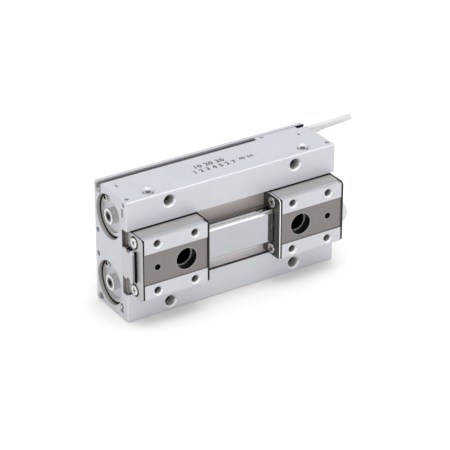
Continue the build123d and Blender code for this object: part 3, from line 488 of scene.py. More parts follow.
# %% Finishes of the body
body_aluminium = finish("body_aluminium", (0.56, 0.58, 0.62), metallic=0.35, roughness=0.42,
                        grain=0.35, variety=0.03, bump=0.006, stretch=(8, 1, 1))
cap_aluminium = finish("cap_aluminium", (0.56, 0.575, 0.61), metallic=0.4, roughness=0.36,
                       grain=0.3, variety=0.05, bump=0.006)
finish("switch_plastic", (0.50, 0.515, 0.55), metallic=0.0, roughness=0.45,
       grain=0.25, variety=0.03, bump=0.01)
print("finishes", len(finishes))

# %% [markdown]
# The rail is ground to a fine finish along its length and shines most. The fingers are ground too,
# but more matt, and the thin end plates are rolled steel whose grain runs upright.

# %% Finishes of the steel pieces in sight
rail_steel = finish("rail_steel", (0.47, 0.485, 0.525), metallic=1.0, roughness=0.10,
                    grain=0.2, variety=0.02, bump=0.0005, stretch=(20, 1, 1))
finger_steel = finish("finger_steel", (0.55, 0.565, 0.60), metallic=0.4, roughness=0.34,
                      grain=0.25, variety=0.02, bump=0.003, stretch=(10, 1, 1))
plate_steel = finish("plate_steel", (0.46, 0.46, 0.47), metallic=0.7, roughness=0.33,
                     grain=0.25, variety=0.05, bump=0.005, stretch=(1, 1, 8))
screw_steel = finish("screw_steel", (0.66, 0.65, 0.64), metallic=0.95, roughness=0.26,
                     grain=0.3, variety=0.04, bump=0.003)
spring_steel = finish("spring_steel", (0.62, 0.61, 0.60), metallic=0.9, roughness=0.28,
                      grain=0.3, variety=0.05, bump=0.003)
print("finishes", len(finishes))

# %% [markdown]
# What lies inside shows only in a cut or at a hole, but each piece still has the finish of its
# trade: hard balls, a toothed gear, turned pistons, a bronze bush, black seals and magnets, and the
# bare copper at the ends of the leads.

# %% Finishes of the inner pieces
STEEL_GREY = (0.52, 0.53, 0.55)
finish("ball_steel", STEEL_GREY, metallic=1.0, roughness=0.12, grain=0.5, variety=0.02, bump=0.001)
finish("gear_steel", STEEL_GREY, metallic=1.0, roughness=0.3, grain=0.3, variety=0.05, bump=0.004)
finish("piston_steel", STEEL_GREY, metallic=1.0, roughness=0.25,
       grain=0.3, variety=0.05, bump=0.003, stretch=(1, 6, 6))
finish("bush_bronze", (0.50, 0.33, 0.16), metallic=0.9, roughness=0.4, grain=0.3, variety=0.1, bump=0.006)
finish("seal_rubber", (0.02, 0.02, 0.022), metallic=0.0, roughness=0.6, grain=0.2, variety=0.2, bump=0.01)
finish("magnet", (0.10, 0.09, 0.09), metallic=0.3, roughness=0.5, grain=0.2, variety=0.2, bump=0.01)
finish("core_copper", (0.72, 0.36, 0.20), metallic=1.0, roughness=0.3, grain=0.3, variety=0.05, bump=0.003)
print("finishes", len(finishes))

# %% [markdown]
# Every ready-made piece names its own material slot in the record, and each finish has the name of
# a slot, so one loop dresses them all and no piece is left in plain grey.

# %% Finishes on their pieces
for part in frame["record"]["subparts"]:
    set_finish(finishes[part["material_slot"]], part["node"])

# %% [markdown]
# The four mounting holes of the body lie at equal distances from its middle, so the absolute value
# of a coordinate folds them onto one, and a single circle test finds all four. Below its mouth a
# hole's wall is painted dark as shade. The countersink at the mouth catches the light on its lower
# side, which faces up, so the lower half of each rim is given a painted highlight.

# %% Holes in the front of the body
FRONT_TAP = Vector((32.4, 0, 24.7)) * MM
FRONT_TAP_RADIUS = 2.5 * MM
FRONT_TAP_SINK = 0.7 * MM
FRONT_TAP_REACH = 7.0 * MM
RIM_WIDTH = 0.75 * MM
EDGE = 0.08 * MM
# Near black, used for painted shade in holes, grooves, slits and gaps.
DEEP = (0.012, 0.012, 0.012)
# Painted shade on the walls inside the holes.
PAINTED_HOLE_SHADE = (0.045, 0.045, 0.045)
# Painted highlight on the lower half of each rim.
BRIGHT_RIM = (0.85, 0.86, 0.88)


def nearest_row(z, half):
    """The height of the nearer of two rows of holes, a half distance above and below the middle."""
    return math_node("MULTIPLY_ADD", past(z, MID_Z), 2 * half, MID_Z - half)


def holes_and_rims(material, across, along, low_side, radius, rim_width, rim, depth):
    """Painted shade inside round holes, and a painted highlight on the lower half of their rims."""
    recolour(material, both(round_mask(across, along, radius + EDGE), depth), PAINTED_HOLE_SHADE)
    lit = both(round_mask(across, along, radius + rim_width), rim, low_side)
    recolour(material, lit, BRIGHT_RIM, roughness=0.3)


x, y, z = coordinates(body_aluminium)
side = folded(x, 0)
level = folded(z, MID_Z)
holes_and_rims(body_aluminium, folded(side, FRONT_TAP.x), folded(level, FRONT_TAP.z),
               short_of(z, nearest_row(z, FRONT_TAP.z)), FRONT_TAP_RADIUS, RIM_WIDTH,
               rim=short_of(y, body_low.y + FRONT_TAP_SINK),
               depth=between(y, body_low.y + FRONT_TAP_SINK, body_low.y + FRONT_TAP_REACH))
print("front holes of the body")

# %% [markdown]
# The fingers slide in a channel across the front. Little light gets into it, so its upper side is
# painted brown as shade and its lower side painted pale as reflected light, and a thin black line
# of painted shade runs along each ledge, where the shade is deepest. The shade could come from the
# lamps alone, but at this size a few samples of light don't draw so thin a line. The notches beyond
# the fingers' outer ends are painted darker still, as shade.

# %% Channel of the body
CHANNEL_HALF = 15.55 * MM
CHANNEL_LIP = 0.25 * MM
LEDGE_LINE = 0.35 * MM
LEDGE_DEPTH = 1.8 * MM
NOTCH_START = 1.2 * MM
# Painted shade on the upper side of the channel, painted reflected light on the lower side.
CHANNEL_SHADES = ((0.48, 0.43, 0.405), (0.80, 0.765, 0.785))
# Painted shade in the notches.
NOTCH_SHADES = ((0.10, 0.085, 0.075), (0.20, 0.19, 0.17))
in_channel = both(short_of(level, CHANNEL_HALF + EDGE), short_of(y, rail_high.y + EDGE),
                  past(y, body_low.y + CHANNEL_LIP))
above = past(z, MID_Z)
below = without(above)
for half, shade in zip((above, below), CHANNEL_SHADES):
    recolour(body_aluminium, both(in_channel, half), shade, roughness=0.35)
# A thin line of painted shade along each ledge.
ledges = both(past(level, CHANNEL_HALF - LEDGE_LINE), short_of(y, body_low.y + LEDGE_DEPTH))
recolour(body_aluminium, both(in_channel, ledges), DEEP, roughness=0.5)
notch = both(in_channel, past(side, FINGER_OUTER_END + NOTCH_START))
for half, shade in zip((above, below), NOTCH_SHADES):
    recolour(body_aluminium, both(notch, half), shade, roughness=0.4)
print("channel")

# %% [markdown]
# The upper sensor groove is a narrow slot with a lip, so its inside is painted grey as shade, and
# black as deeper shade at the open end past the switch. Both are found by their place in Y and by
# their depth below the top face.

# %% Sensor groove
GROOVE_SIDES = (12 * MM, 17 * MM)
GROOVE_DEPTH = 5 * MM
GROOVE_LIP = 0.8 * MM
GROOVE_END_LIP = 0.15 * MM
# Painted shade inside the groove.
GROOVE_SHADE = (0.36, 0.355, 0.35)
in_groove = between(y, *GROOVE_SIDES)
groove_wall = between(z, body_high.z - GROOVE_DEPTH, body_high.z - GROOVE_LIP)
recolour(body_aluminium, both(in_groove, groove_wall), GROOVE_SHADE, roughness=0.4)
# Painted deeper shade at the open end past the switch.
groove_end = between(z, body_high.z - GROOVE_DEPTH, body_high.z - GROOVE_END_LIP)
recolour(body_aluminium, both(past(x, SWITCH_RIGHT * MM), in_groove, groove_end), DEEP, roughness=0.5)
print("sensor groove")

# %% [markdown]
# The body's outer edges are broken by a small chamfer, as every deburred block has, and each
# chamfer is given a painted highlight. A point is on an edge where two of its three coordinates
# are at their limits, so the three tests are added up and compared with one and a half. The
# painted highlight is brightest on the edge between the top and the front.

# %% Painted highlights on the edges of the body
BROKEN_EDGE = 0.42 * MM
# Painted highlights on the chamfers, brightest between the top and the front.
TOP_EDGE_SHINE = (0.76, 0.78, 0.82)
EDGE_SHINE = (0.62, 0.64, 0.68)
at_limit = [past(folded(value, (low + high) / 2), (high - low) / 2 - BROKEN_EDGE)
            for value, low, high in zip((x, y, z), body_low, body_high)]
top_front = both(at_limit[1], at_limit[2], above)
recolour(body_aluminium, top_front, TOP_EDGE_SHINE, roughness=0.3)
limits = math_node("ADD", at_limit[0], math_node("ADD", at_limit[1], at_limit[2]))
recolour(body_aluminium, both(past(limits, 1.5), without(top_front)), EDGE_SHINE, roughness=0.35)
print("bright edges")

# %% [markdown]
# A bore's mouth holds a cap, and a circlip in a groove keeps the cap in. The wall of the mouth is
# painted darker than the face as shade, the groove behind the clip is painted black as shade, and
# so is the clip's outer edge, where it disappears into the groove. All four bores are found at
# once, folded onto one.

# %% Mouths of the bores
BORE_SPACING = 32.6 * MM
BORE_Y = body_high.y - 12.2 * MM
BORE_RADIUS = 10.0 * MM
MOUTH_MARGIN = 0.45 * MM
CLIP_GROOVE_MARGIN = 0.6 * MM
CLIP_EDGE_RADIUS = 9.3 * MM
CAP_FACE_X = 51.2 * MM
CLIP_FACE_X = 52.35 * MM
# Painted shade on the wall of a bore's mouth.
MOUTH_SHADE = (0.46, 0.44, 0.425)


def from_bores(y, z):
    """How far a place is from the axis of the nearer bore, across and up."""
    return math_node("SUBTRACT", y, BORE_Y), folded(folded(z, MID_Z), BORE_SPACING / 2)


across, along = from_bores(y, z)
far_out = past(side, CAP_FACE_X - EDGE)
mouth = both(far_out, round_mask(across, along, BORE_RADIUS + MOUTH_MARGIN))
recolour(body_aluminium, mouth, MOUTH_SHADE, roughness=0.35)
# Painted shade in the clip's groove.
clip_groove = both(far_out, round_mask(across, along, BORE_RADIUS + CLIP_GROOVE_MARGIN),
                   short_of(side, CLIP_FACE_X))
recolour(body_aluminium, clip_groove, DEEP, roughness=0.5)
x, y, z = coordinates(spring_steel)
across, along = from_bores(y, z)
# Painted shade on the clip's outer edge.
recolour(spring_steel, without(round_mask(across, along, CLIP_EDGE_RADIUS)), DEEP, roughness=0.5)
print("mouths of the bores")

# %% [markdown]
# A circlip ends in two lugs with a small eye in each, into which the pliers go. An eye is a point
# of painted shade. It is a disc at a known angle on the clip, drawn on the clip itself and a little
# wider on the cap that is seen through it, where it is painted shadow round the lugs.

# %% Eyes of the circlips
LUG_PATH = 8.55 * MM
LUG_ANGLES = (math.radians(47.0), math.radians(93.0))
LUG_EYE_RADIUS = 0.8 * MM
# Painted shade in the eyes, wider on the cap as painted shadow round the lugs.
EYE_MARGINS = ((spring_steel, 0.2 * MM), (cap_aluminium, 0.9 * MM))
for metal, margin in EYE_MARGINS:
    x, y, z = coordinates(metal)
    above_bore = math_node("SUBTRACT", z, nearest_row(z, BORE_SPACING / 2))
    for angle in LUG_ANGLES:
        across = math_node("SUBTRACT", y, BORE_Y + LUG_PATH * math.cos(angle))
        along = math_node("SUBTRACT", above_bore, LUG_PATH * math.sin(angle))
        recolour(metal, round_mask(across, along, LUG_EYE_RADIUS + margin), DEEP, roughness=0.5)
print("eye masks", len(EYE_MARGINS) * len(LUG_ANGLES))

# %% [markdown]
# Two ports open in the top face, each closed by a sunk plug. A thin ring of painted shade stands
# for the joint between plug and hole, and a soft grey one round it for the countersink. Both are
# kept near the top face, or the same rings would come out on the underside as well.

# %% Port mouths
PORT_X, PORT_Y, PORT_RADIUS = 39.9 * MM, -3.8 * MM, 2.1 * MM
PORT_JOINT = 0.3 * MM
PORT_SINK_START = 0.35 * MM
PORT_SINK_END = 1.25 * MM
PORT_DEPTH = 3 * MM
PORT_SINK_SHADE = (0.60, 0.62, 0.66)
x, y, z = coordinates(body_aluminium)
across = folded(folded(x, 0), PORT_X)
along = math_node("SUBTRACT", y, PORT_Y)
near_top = past(z, body_high.z - PORT_DEPTH)
# A ring of painted shade at the joint between plug and hole.
joint = ring_mask(across, along, PORT_RADIUS - EDGE, PORT_RADIUS + PORT_JOINT)
recolour(body_aluminium, both(joint, near_top), DEEP, roughness=0.4)
countersink = ring_mask(across, along, PORT_RADIUS + PORT_SINK_START, PORT_RADIUS + PORT_SINK_END)
recolour(body_aluminium, both(countersink, near_top), PORT_SINK_SHADE, roughness=0.35)
print("port mouths")

# %% [markdown]
# A band across the middle of each finger is ground a little deeper than the lands above and below
# it, and looks brown beside them. The long sides of the fingers face up and are painted greyer
# towards the body as shade. Black lines of painted shade stand for the joints to the end plates
# and for the gap to the body.

# %% Ground band, sides and joints of the fingers
BAND_HALF = 7.5 * MM
BAND_DEPTH = 0.45 * MM
BAND_BROWN = (0.205, 0.19, 0.185)
JOINT_LINE = 0.35 * MM
LONG_SIDE_START = 14.2 * MM
# Painted shade on the long sides, darker further towards the body.
LONG_SIDE_SHADES = ((1.3 * MM, (0.50, 0.505, 0.52)), (3.4 * MM, (0.43, 0.42, 0.415)))
GAP_START = 14.0 * MM
GAP_LINE = 0.4 * MM
x, y, z = coordinates(finger_steel)
side = folded(x, 0)
level = folded(z, MID_Z)
band = both(short_of(level, BAND_HALF + EDGE), short_of(y, FINGER_FRONT + BAND_DEPTH))
recolour(finger_steel, band, BAND_BROWN, roughness=0.32)
# Painted shade in the joints to the end plates.
left_joint = short_of(x, -FINGER_OUTER_END + JOINT_LINE)
right_joint = between(x, 0.0, FINGER_INNER_END + JOINT_LINE)
recolour(finger_steel, either(left_joint, right_joint), DEEP, roughness=0.5)
long_side = past(level, LONG_SIDE_START)
for depth, shade in LONG_SIDE_SHADES:
    recolour(finger_steel, both(long_side, past(y, FINGER_FRONT + depth)), shade, roughness=0.36)
# Painted shade in the gap to the body.
gap = both(past(y, body_low.y - GAP_LINE), past(level, GAP_START))
recolour(finger_steel, gap, DEEP, roughness=0.5)
print("band and joints")

# %% [markdown]
# Each finger has four tapped holes for the jaws, a large hole that gives access to the rail's screw
# and a small one over the pin that ties the finger to its piston. The tapped holes are made like
# those of the body, with painted shade inside and a painted highlight on the rim. The other two are
# painted black inside as shade, with a thin lighter ring at the mouth, where the ground surface
# breaks into the hole.

# %% Holes of the fingers
FINGER_HOLES_X = 34.7 * MM
FINGER_HOLE_HALF = Vector((9.4, 0, 11.4)) * MM
FINGER_TAP_RADIUS = 1.65 * MM
FINGER_TAP_SINK = 0.75 * MM
FINGER_RIM = 0.7 * MM
FINGER_BACK = 0.3 * MM
ACCESS_X, ACCESS_RADIUS, ACCESS_RIM = 29.6 * MM, 5.1 * MM, 0.25 * MM
PIN_X, PIN_RADIUS, PIN_RIM = 44.1 * MM, 1.5 * MM, 0.2 * MM
RIM_DEPTH = 0.6 * MM
HOLE_START = 0.5 * MM
GROUND_RIM = (0.36, 0.345, 0.335)
holes_and_rims(finger_steel, folded(folded(side, FINGER_HOLES_X), FINGER_HOLE_HALF.x),
               folded(level, FINGER_HOLE_HALF.z), short_of(z, nearest_row(z, FINGER_HOLE_HALF.z)),
               FINGER_TAP_RADIUS, FINGER_RIM, rim=short_of(y, FINGER_FRONT + FINGER_RIM),
               depth=between(y, FINGER_FRONT + FINGER_TAP_SINK, block_high.y - FINGER_BACK))
from_access = folded(side, ACCESS_X)
from_pin = folded(side, PIN_X)
rims = either(round_mask(from_access, level, ACCESS_RADIUS + ACCESS_RIM),
              round_mask(from_pin, level, PIN_RADIUS + PIN_RIM))
recolour(finger_steel, both(rims, short_of(y, FINGER_FRONT + RIM_DEPTH)), GROUND_RIM, roughness=0.3)
# Painted shade inside the access and pin holes.
hole_depth = between(y, FINGER_FRONT + HOLE_START, block_high.y - FINGER_BACK)
for distance, radius in ((from_access, ACCESS_RADIUS), (from_pin, PIN_RADIUS)):
    recolour(finger_steel, both(round_mask(distance, level, radius + EDGE), hole_depth), DEEP)
print("finger holes")

# %% [markdown]
# The rail's polished front stays as it is. Its upper and lower sides are painted with a bright
# strip of highlight in front and a brown one of shade further in, where the channel shades them,
# with a dark line of painted shade between the two. Its front edges are chamfered and given a
# painted highlight.

# %% Sides and edges of the rail
RAIL_HALF = (rail_high.z - rail_low.z) / 2
RAIL_SHADE_Y = -8.7 * MM
RAIL_LINE = 0.45 * MM
RAIL_CHAMFER = 0.7 * MM
# Painted highlight in front on the sides, painted shade further in, a line of painted shade between, and a
# painted highlight on the front edges.
RAIL_SIDE_SHINE = (0.95, 0.94, 0.91)
RAIL_SIDE_SHADE = (0.40, 0.36, 0.34)
RAIL_LINE_SHADE = (0.03, 0.028, 0.026)
RAIL_EDGE_SHINE = (0.9, 0.91, 0.93)
x, y, z = coordinates(rail_steel)
side = folded(x, 0)
level = folded(z, MID_Z)
on_side = past(level, RAIL_HALF - EDGE)
shaded = both(on_side, past(y, RAIL_SHADE_Y))
recolour(rail_steel, on_side, RAIL_SIDE_SHINE, roughness=0.6)
recolour(rail_steel, shaded, RAIL_SIDE_SHADE, roughness=0.45)
recolour(rail_steel, both(shaded, short_of(y, RAIL_SHADE_Y + RAIL_LINE)), RAIL_LINE_SHADE, roughness=0.5)
at_front = short_of(y, rail_low.y + RAIL_CHAMFER)
recolour(rail_steel, both(past(level, RAIL_HALF - RAIL_CHAMFER), at_front), RAIL_EDGE_SHINE, roughness=0.25)
print("rail sides")

# %% [markdown]
# Through a finger's large hole one looks at the rail's screw in its counterbore: a ring of painted
# highlight, and painted shade inside it. Beside each outer end plate a dark slit is painted on the
# rail, the shade of the narrow space between the two.

# %% Screws and slits of the rail
RAIL_RING = 0.4 * MM
BOLT_HEAD_RADIUS = 4.6 * MM
BOLT_HEAD_SINK = 0.1 * MM
SLIT_START = 0.9 * MM
SLIT_END = 0.95 * MM
# Painted highlight on the rim of the counterbore.
RING_SHINE = (0.9, 0.89, 0.86)
from_access = folded(side, ACCESS_X)
seen_ring = both(round_mask(from_access, level, ACCESS_RADIUS + RAIL_RING), short_of(y, rail_low.y + EDGE))
recolour(rail_steel, seen_ring, RING_SHINE, roughness=0.5)
# Painted shade on the screw in the counterbore.
head = both(round_mask(from_access, level, BOLT_HEAD_RADIUS + EDGE), past(y, rail_low.y + BOLT_HEAD_SINK))
recolour(rail_steel, head, DEEP)
# Painted shade where the slit is drawn.
slit = both(between(side, FINGER_OUTER_END + SLIT_START, rail_high.x - SLIT_END), at_front)
recolour(rail_steel, slit, DEEP, roughness=0.5)
print("rail screws and slits")

# %% [markdown]
# The end plates are stamped from thin steel. The two inner ones stand in the shade between the
# fingers and get a darker copy of the steel as painted shade. The cut edge of a plate is painted
# white as a highlight where it catches the light, black as shade where it doesn't, and grey
# otherwise, told apart by the place along the body. A ring of painted shadow round each screw
# stands for the joint between its head and the plate.

# %% End plates
PLATE_HALF = (block_high.z - block_low.z) / 2
PLATE_CORNER = 1.2 * MM
PLATE_HALF_THICKNESS = 0.5 * MM
PLATE_SCREW_Y = -12.4 * MM
PLATE_SCREW_HALF = 11.55 * MM
# A ring of painted shadow round each screw.
SEAT_RADIUS = 3.05 * MM
PLATE_EDGE_GREY = (0.50, 0.50, 0.51)
# Painted highlight on the lit edges of the plates.
PLATE_EDGE_SHINE = (0.90, 0.90, 0.89)
# A darker copy of the plate steel, as painted shade.
shaded_steel = finish("shaded_steel", (0.085, 0.077, 0.071), metallic=0.7, roughness=0.33,
                      grain=0.25, variety=0.06, bump=0.005, stretch=(1, 1, 8))
set_finish(shaded_steel, "left_inner_plate", "right_inner_plate")
outer_middle = FINGER_OUTER_END + PLATE_HALF_THICKNESS
inner_middle = FINGER_INNER_END - PLATE_HALF_THICKNESS


def from_screws(y, z):
    """How far a place is from the axis of the nearest plate screw, across and up."""
    return math_node("SUBTRACT", y, PLATE_SCREW_Y), folded(folded(z, MID_Z), PLATE_SCREW_HALF)


# On each plate: painted highlight and painted shade on the cut edges, and a ring of painted shadow round
# each screw.
for plate in (plate_steel, shaded_steel):
    x, y, z = coordinates(plate)
    to_side = math_node("SUBTRACT", PLATE_HALF, folded(z, MID_Z))
    to_front = math_node("SUBTRACT", y, FINGER_FRONT)
    edges = either(short_of(to_side, EDGE), short_of(to_front, EDGE))
    edges = either(edges, short_of(math_node("ADD", to_side, to_front), PLATE_CORNER + EDGE))
    recolour(plate, edges, PLATE_EDGE_GREY, roughness=0.3)
    recolour(plate, both(edges, between(x, 0.0, inner_middle)), PLATE_EDGE_SHINE, roughness=0.25)
    dark = either(between(x, -outer_middle, 0.0), between(x, inner_middle, outer_middle * 2))
    recolour(plate, both(edges, dark), DEEP, roughness=0.4)
    recolour(plate, round_mask(*from_screws(y, z), SEAT_RADIUS), DEEP, roughness=0.5)
print("plates")

# %% [markdown]
# A cross recess is narrow and deep, so it is painted nearly black inside as shade. The screws are
# modelled further on; here their metal is painted dark as shade near the axis and below the top of
# the head, on the same axes as the rings of the plates, and the heads' own surface stays bright.

# %% Recesses of the plate screws
RECESS_RADIUS = 1.75 * MM
RECESS_TOP = 1.45 * MM
x, y, z = coordinates(screw_steel)
side = folded(x, 0)
below_head = either(between(side, FINGER_OUTER_END, FINGER_OUTER_END + RECESS_TOP),
                    between(side, FINGER_INNER_END - RECESS_TOP, FINGER_INNER_END))
recess = round_mask(*from_screws(y, z), RECESS_RADIUS)
# Painted shade inside the recesses.
recolour(screw_steel, both(recess, below_head), DEEP, roughness=0.4)
print("recesses")

# %% [markdown]
# Each cap and each port is closed by a small plug with a socket for a hex key. They are brighter
# than the caps, because they are turned and not anodised. The socket of a cap's plug is painted
# dark as shade, since its floor lies deep, and the plugs of the ports and the screws of the
# switches are duller.

# %% Plugs and small screws
PLUG_SOCKET_RADIUS = 2.5 * MM
# Painted shade in the socket of a cap's plug.
SOCKET_SHADE = (0.16, 0.16, 0.16)
plug_steel = finish("plug_steel", (0.70, 0.70, 0.71), metallic=0.7, roughness=0.3,
                    grain=0.3, variety=0.04, bump=0.003)
x, y, z = coordinates(plug_steel)
recolour(plug_steel, round_mask(*from_bores(y, z), PLUG_SOCKET_RADIUS), SOCKET_SHADE, roughness=0.35)
port_plug_steel = finish("port_plug_steel", (0.48, 0.49, 0.51), metallic=0.5, roughness=0.35,
                         grain=0.3, variety=0.05, bump=0.003)
switch_screw = finish("switch_screw", (0.47, 0.48, 0.50), metallic=0.5, roughness=0.4,
                      grain=0.3, variety=0.05, bump=0.003)
set_finish(plug_steel, "cap_plugs")
set_finish(port_plug_steel, "port_plugs")
set_finish(switch_screw, "switch_screws")
print("plugs")

# %% [markdown]
# From here on pieces are modelled as by hand. A few helpers do what is done to each of them: its
# modifiers are applied, it is copied with a mesh of its own, pieces that move together are joined,
# and the place goes into the mesh, so that the object itself stands at the origin like the rest.

# %% Helpers for modelled pieces
def apply_modifiers(piece):
    """Turn a piece's modifiers into mesh."""
    clear_selection()
    piece.select_set(True)
    bpy.context.view_layer.objects.active = piece
    for modifier in list(piece.modifiers):
        bpy.ops.object.modifier_apply(modifier=modifier.name)


def settle(piece, name, body, material, slot, *replaced):
    """Put a piece's place into its mesh, name it, and let it ride."""
    clear_selection()
    piece.select_set(True)
    bpy.context.view_layer.objects.active = piece
    bpy.ops.object.transform_apply(location=True, rotation=True, scale=True)
    piece.name = name
    set_finish(material, piece)
    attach(piece, body)
    if replaced:
        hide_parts(*replaced)


def copy_of(piece, matrix):
    """A copy with its own mesh, moved by a matrix."""
    twin = piece.copy()
    twin.data = piece.data.copy()
    twin.data.transform(matrix)
    bpy.context.scene.collection.objects.link(twin)
    return twin


def join(pieces):
    """Several pieces as one."""
    clear_selection()
    for piece in pieces:
        piece.select_set(True)
    bpy.context.view_layer.objects.active = pieces[0]
    bpy.ops.object.join()
    return bpy.context.object


print("helpers are ready")

# %% [markdown]
# A tapped hole shows its thread as bright and dark rings. A bump texture could fake them, but they
# would vanish at the rim, so they are real. One ring of the thread is a step in and a step out
# along the hole: the wall is drawn by extruding a circle down the hole and scaling each new loop,
# wide for a root and narrow for a crest. It is made once and copied to each hole.

# %% One threaded wall
THREAD_SIDES = 32
THREAD_WALL = 0.03 * MM


def thread(radius, crest, pitch, turns):
    """The wall of a tapped hole that opens towards -Y at the origin."""
    clear_selection()
    bpy.ops.mesh.primitive_circle_add(vertices=THREAD_SIDES, radius=radius, fill_type="NOTHING",
                                      rotation=(math.pi / 2, 0, 0))
    piece = bpy.context.object
    bpy.ops.object.transform_apply(rotation=True)
    bpy.ops.object.mode_set(mode="EDIT")
    bpy.ops.mesh.select_all(action="SELECT")
    narrow = crest / radius
    for index in range(2 * turns):
        bpy.ops.mesh.extrude_region_move(TRANSFORM_OT_translate={"value": (0, pitch / 2, 0)})
        factor = narrow if index % 2 == 0 else 1 / narrow
        middle = (0, (index + 1) * pitch / 2, 0)
        bpy.ops.transform.resize(value=(factor, 1, factor), center_override=middle)
    bpy.ops.mesh.select_all(action="SELECT")
    bpy.ops.mesh.normals_make_consistent(inside=True)
    bpy.ops.object.mode_set(mode="OBJECT")
    wall = piece.modifiers.new("wall", "SOLIDIFY")
    wall.thickness = THREAD_WALL
    wall.offset = -1
    apply_modifiers(piece)
    return piece


body_thread = thread(radius=2.45 * MM, crest=2.15 * MM, pitch=1.0 * MM, turns=4)
finger_thread = thread(radius=1.6 * MM, crest=1.36 * MM, pitch=0.7 * MM, turns=8)
print("thread walls", len(body_thread.data.vertices), len(finger_thread.data.vertices))

# %% [markdown]
# The four holes of the body have the same thread, and so have the four of each finger. Both are
# painted darker than the body's metal as shade. A finger's threads are joined to one piece and ride
# with it, and they are painted darker than those of the body, as shade, because the holes are
# narrower.

# %% Threads of the body and the fingers
# Both thread colours are darker than the body's metal as painted shade, the finger's more so.
finger_thread_metal = finish("finger_thread_metal", (0.22, 0.22, 0.22), metallic=0.5, roughness=0.28,
                             grain=0.4, variety=0.05, bump=0.002)
thread_metal = finish("thread_metal", (0.40, 0.395, 0.385), metallic=0.5, roughness=0.28,
                      grain=0.4, variety=0.05, bump=0.002)


def four_threads(wall, middle_x, front, half):
    """Copies of a threaded wall at four holes round a middle, joined."""
    copies = []
    for side_x in (-1, 1):
        for side_z in (-1, 1):
            place = Vector((middle_x + side_x * half.x, front, MID_Z + side_z * half.z))
            copies.append(copy_of(wall, Matrix.Translation(place)))
    return join(copies)


settle(four_threads(body_thread, 0, body_low.y + FRONT_TAP_SINK, FRONT_TAP),
       "body_threads", "body", thread_metal, "body_aluminium")
for side_x, body in ((-1, "left_finger"), (1, "right_finger")):
    threads = four_threads(finger_thread, side_x * FINGER_HOLES_X, FINGER_FRONT + FINGER_TAP_SINK,
                           FINGER_HOLE_HALF)
    settle(threads, body + "_threads", body, finger_thread_metal, "finger_steel")
for spare in (body_thread, finger_thread):
    bpy.data.objects.remove(spare)
print("threads made")

# %% [markdown]
# The end plates are held by small pan head screws with a cross recess. The head is a cylinder whose
# rim is rounded by a bevel. The recess could be drawn into the mesh, but a Boolean cuts it as the
# punch does: a cross of two thin bars, narrower at the bottom, as the tip of the driver is.

# %% Cutter for the cross recess
SCREW_HEAD_RADIUS = 2.35 * MM
SCREW_HEAD_HEIGHT = 0.6 * MM
CROSS_LENGTH = 3.0 * MM
CROSS_WIDTH = 0.75 * MM
CROSS_DEPTH = 0.5 * MM
CROSS_TAPER = 0.6


def cross_cutter():
    """Two bars that cross, narrowed towards the bottom."""
    bars = []
    for turn in (0, math.pi / 2):
        clear_selection()
        bpy.ops.mesh.primitive_cube_add(size=1, location=(0, 0, SCREW_HEAD_HEIGHT))
        bar = bpy.context.object
        bar.scale = (CROSS_LENGTH, CROSS_WIDTH, 2 * CROSS_DEPTH)
        bar.rotation_euler = (0, 0, turn)
        bpy.ops.object.transform_apply(location=True, rotation=True, scale=True)
        for vertex in bar.data.vertices:
            if vertex.co.z < SCREW_HEAD_HEIGHT:
                vertex.co.x *= CROSS_TAPER
                vertex.co.y *= CROSS_TAPER
        bars.append(bar)
    return bars


print("cutter helper")

# %% [markdown]
# One screw is made as a master: the cylinder's upper edge is selected by height and bevelled, the
# underside is selected by its normal, inset to the width of the shank and pulled down. A thread
# would never show, so the shank stays plain.

# %% Pan head screw
SCREW_RADIUS = 1.2 * MM
SCREW_LENGTH = 5.0 * MM
HEAD_ROUNDING = SCREW_HEAD_HEIGHT * 0.5
NEARLY = 0.9
SMOOTH_ANGLE = math.radians(32)


def pan_screw():
    """A screw that stands on the origin with its head towards +Z."""
    clear_selection()
    bpy.ops.mesh.primitive_cylinder_add(vertices=48, radius=SCREW_HEAD_RADIUS, depth=SCREW_HEAD_HEIGHT,
                                        location=(0, 0, SCREW_HEAD_HEIGHT / 2))
    screw = bpy.context.object
    bpy.ops.object.transform_apply(location=True)
    bpy.ops.object.mode_set(mode="EDIT")
    mesh = bmesh.from_edit_mesh(screw.data)
    for edge in mesh.edges:
        edge.select = all(v.co.z > SCREW_HEAD_HEIGHT * NEARLY for v in edge.verts)
    bmesh.update_edit_mesh(screw.data)
    bpy.ops.mesh.bevel(offset=HEAD_ROUNDING, segments=5, profile=0.6)
    bpy.ops.mesh.select_all(action="DESELECT")
    mesh = bmesh.from_edit_mesh(screw.data)
    for face in mesh.faces:
        face.select = face.normal.z < -NEARLY
    bmesh.update_edit_mesh(screw.data)
    bpy.ops.mesh.inset(thickness=SCREW_HEAD_RADIUS - SCREW_RADIUS)
    bpy.ops.mesh.extrude_region_move(TRANSFORM_OT_translate={"value": (0, 0, -SCREW_LENGTH)})
    bpy.ops.object.mode_set(mode="OBJECT")
    cutters = cross_cutter()
    for cutter in cutters:
        cut = screw.modifiers.new("recess", "BOOLEAN")
        cut.operation = "DIFFERENCE"
        cut.solver = "EXACT"
        cut.object = cutter
    apply_modifiers(screw)
    for cutter in cutters:
        bpy.data.objects.remove(cutter)
    clear_selection()
    screw.select_set(True)
    bpy.context.view_layer.objects.active = screw
    bpy.ops.object.shade_smooth_by_angle(angle=SMOOTH_ANGLE)
    return screw


screw_master = pan_screw()
print("screw", len(screw_master.data.polygons), "faces")

# %% [markdown]
# Four screws go into each finger's plates, two from either end. No two real screws stop at the same
# angle, so each copy is turned by its own amount before it is laid on its plate.

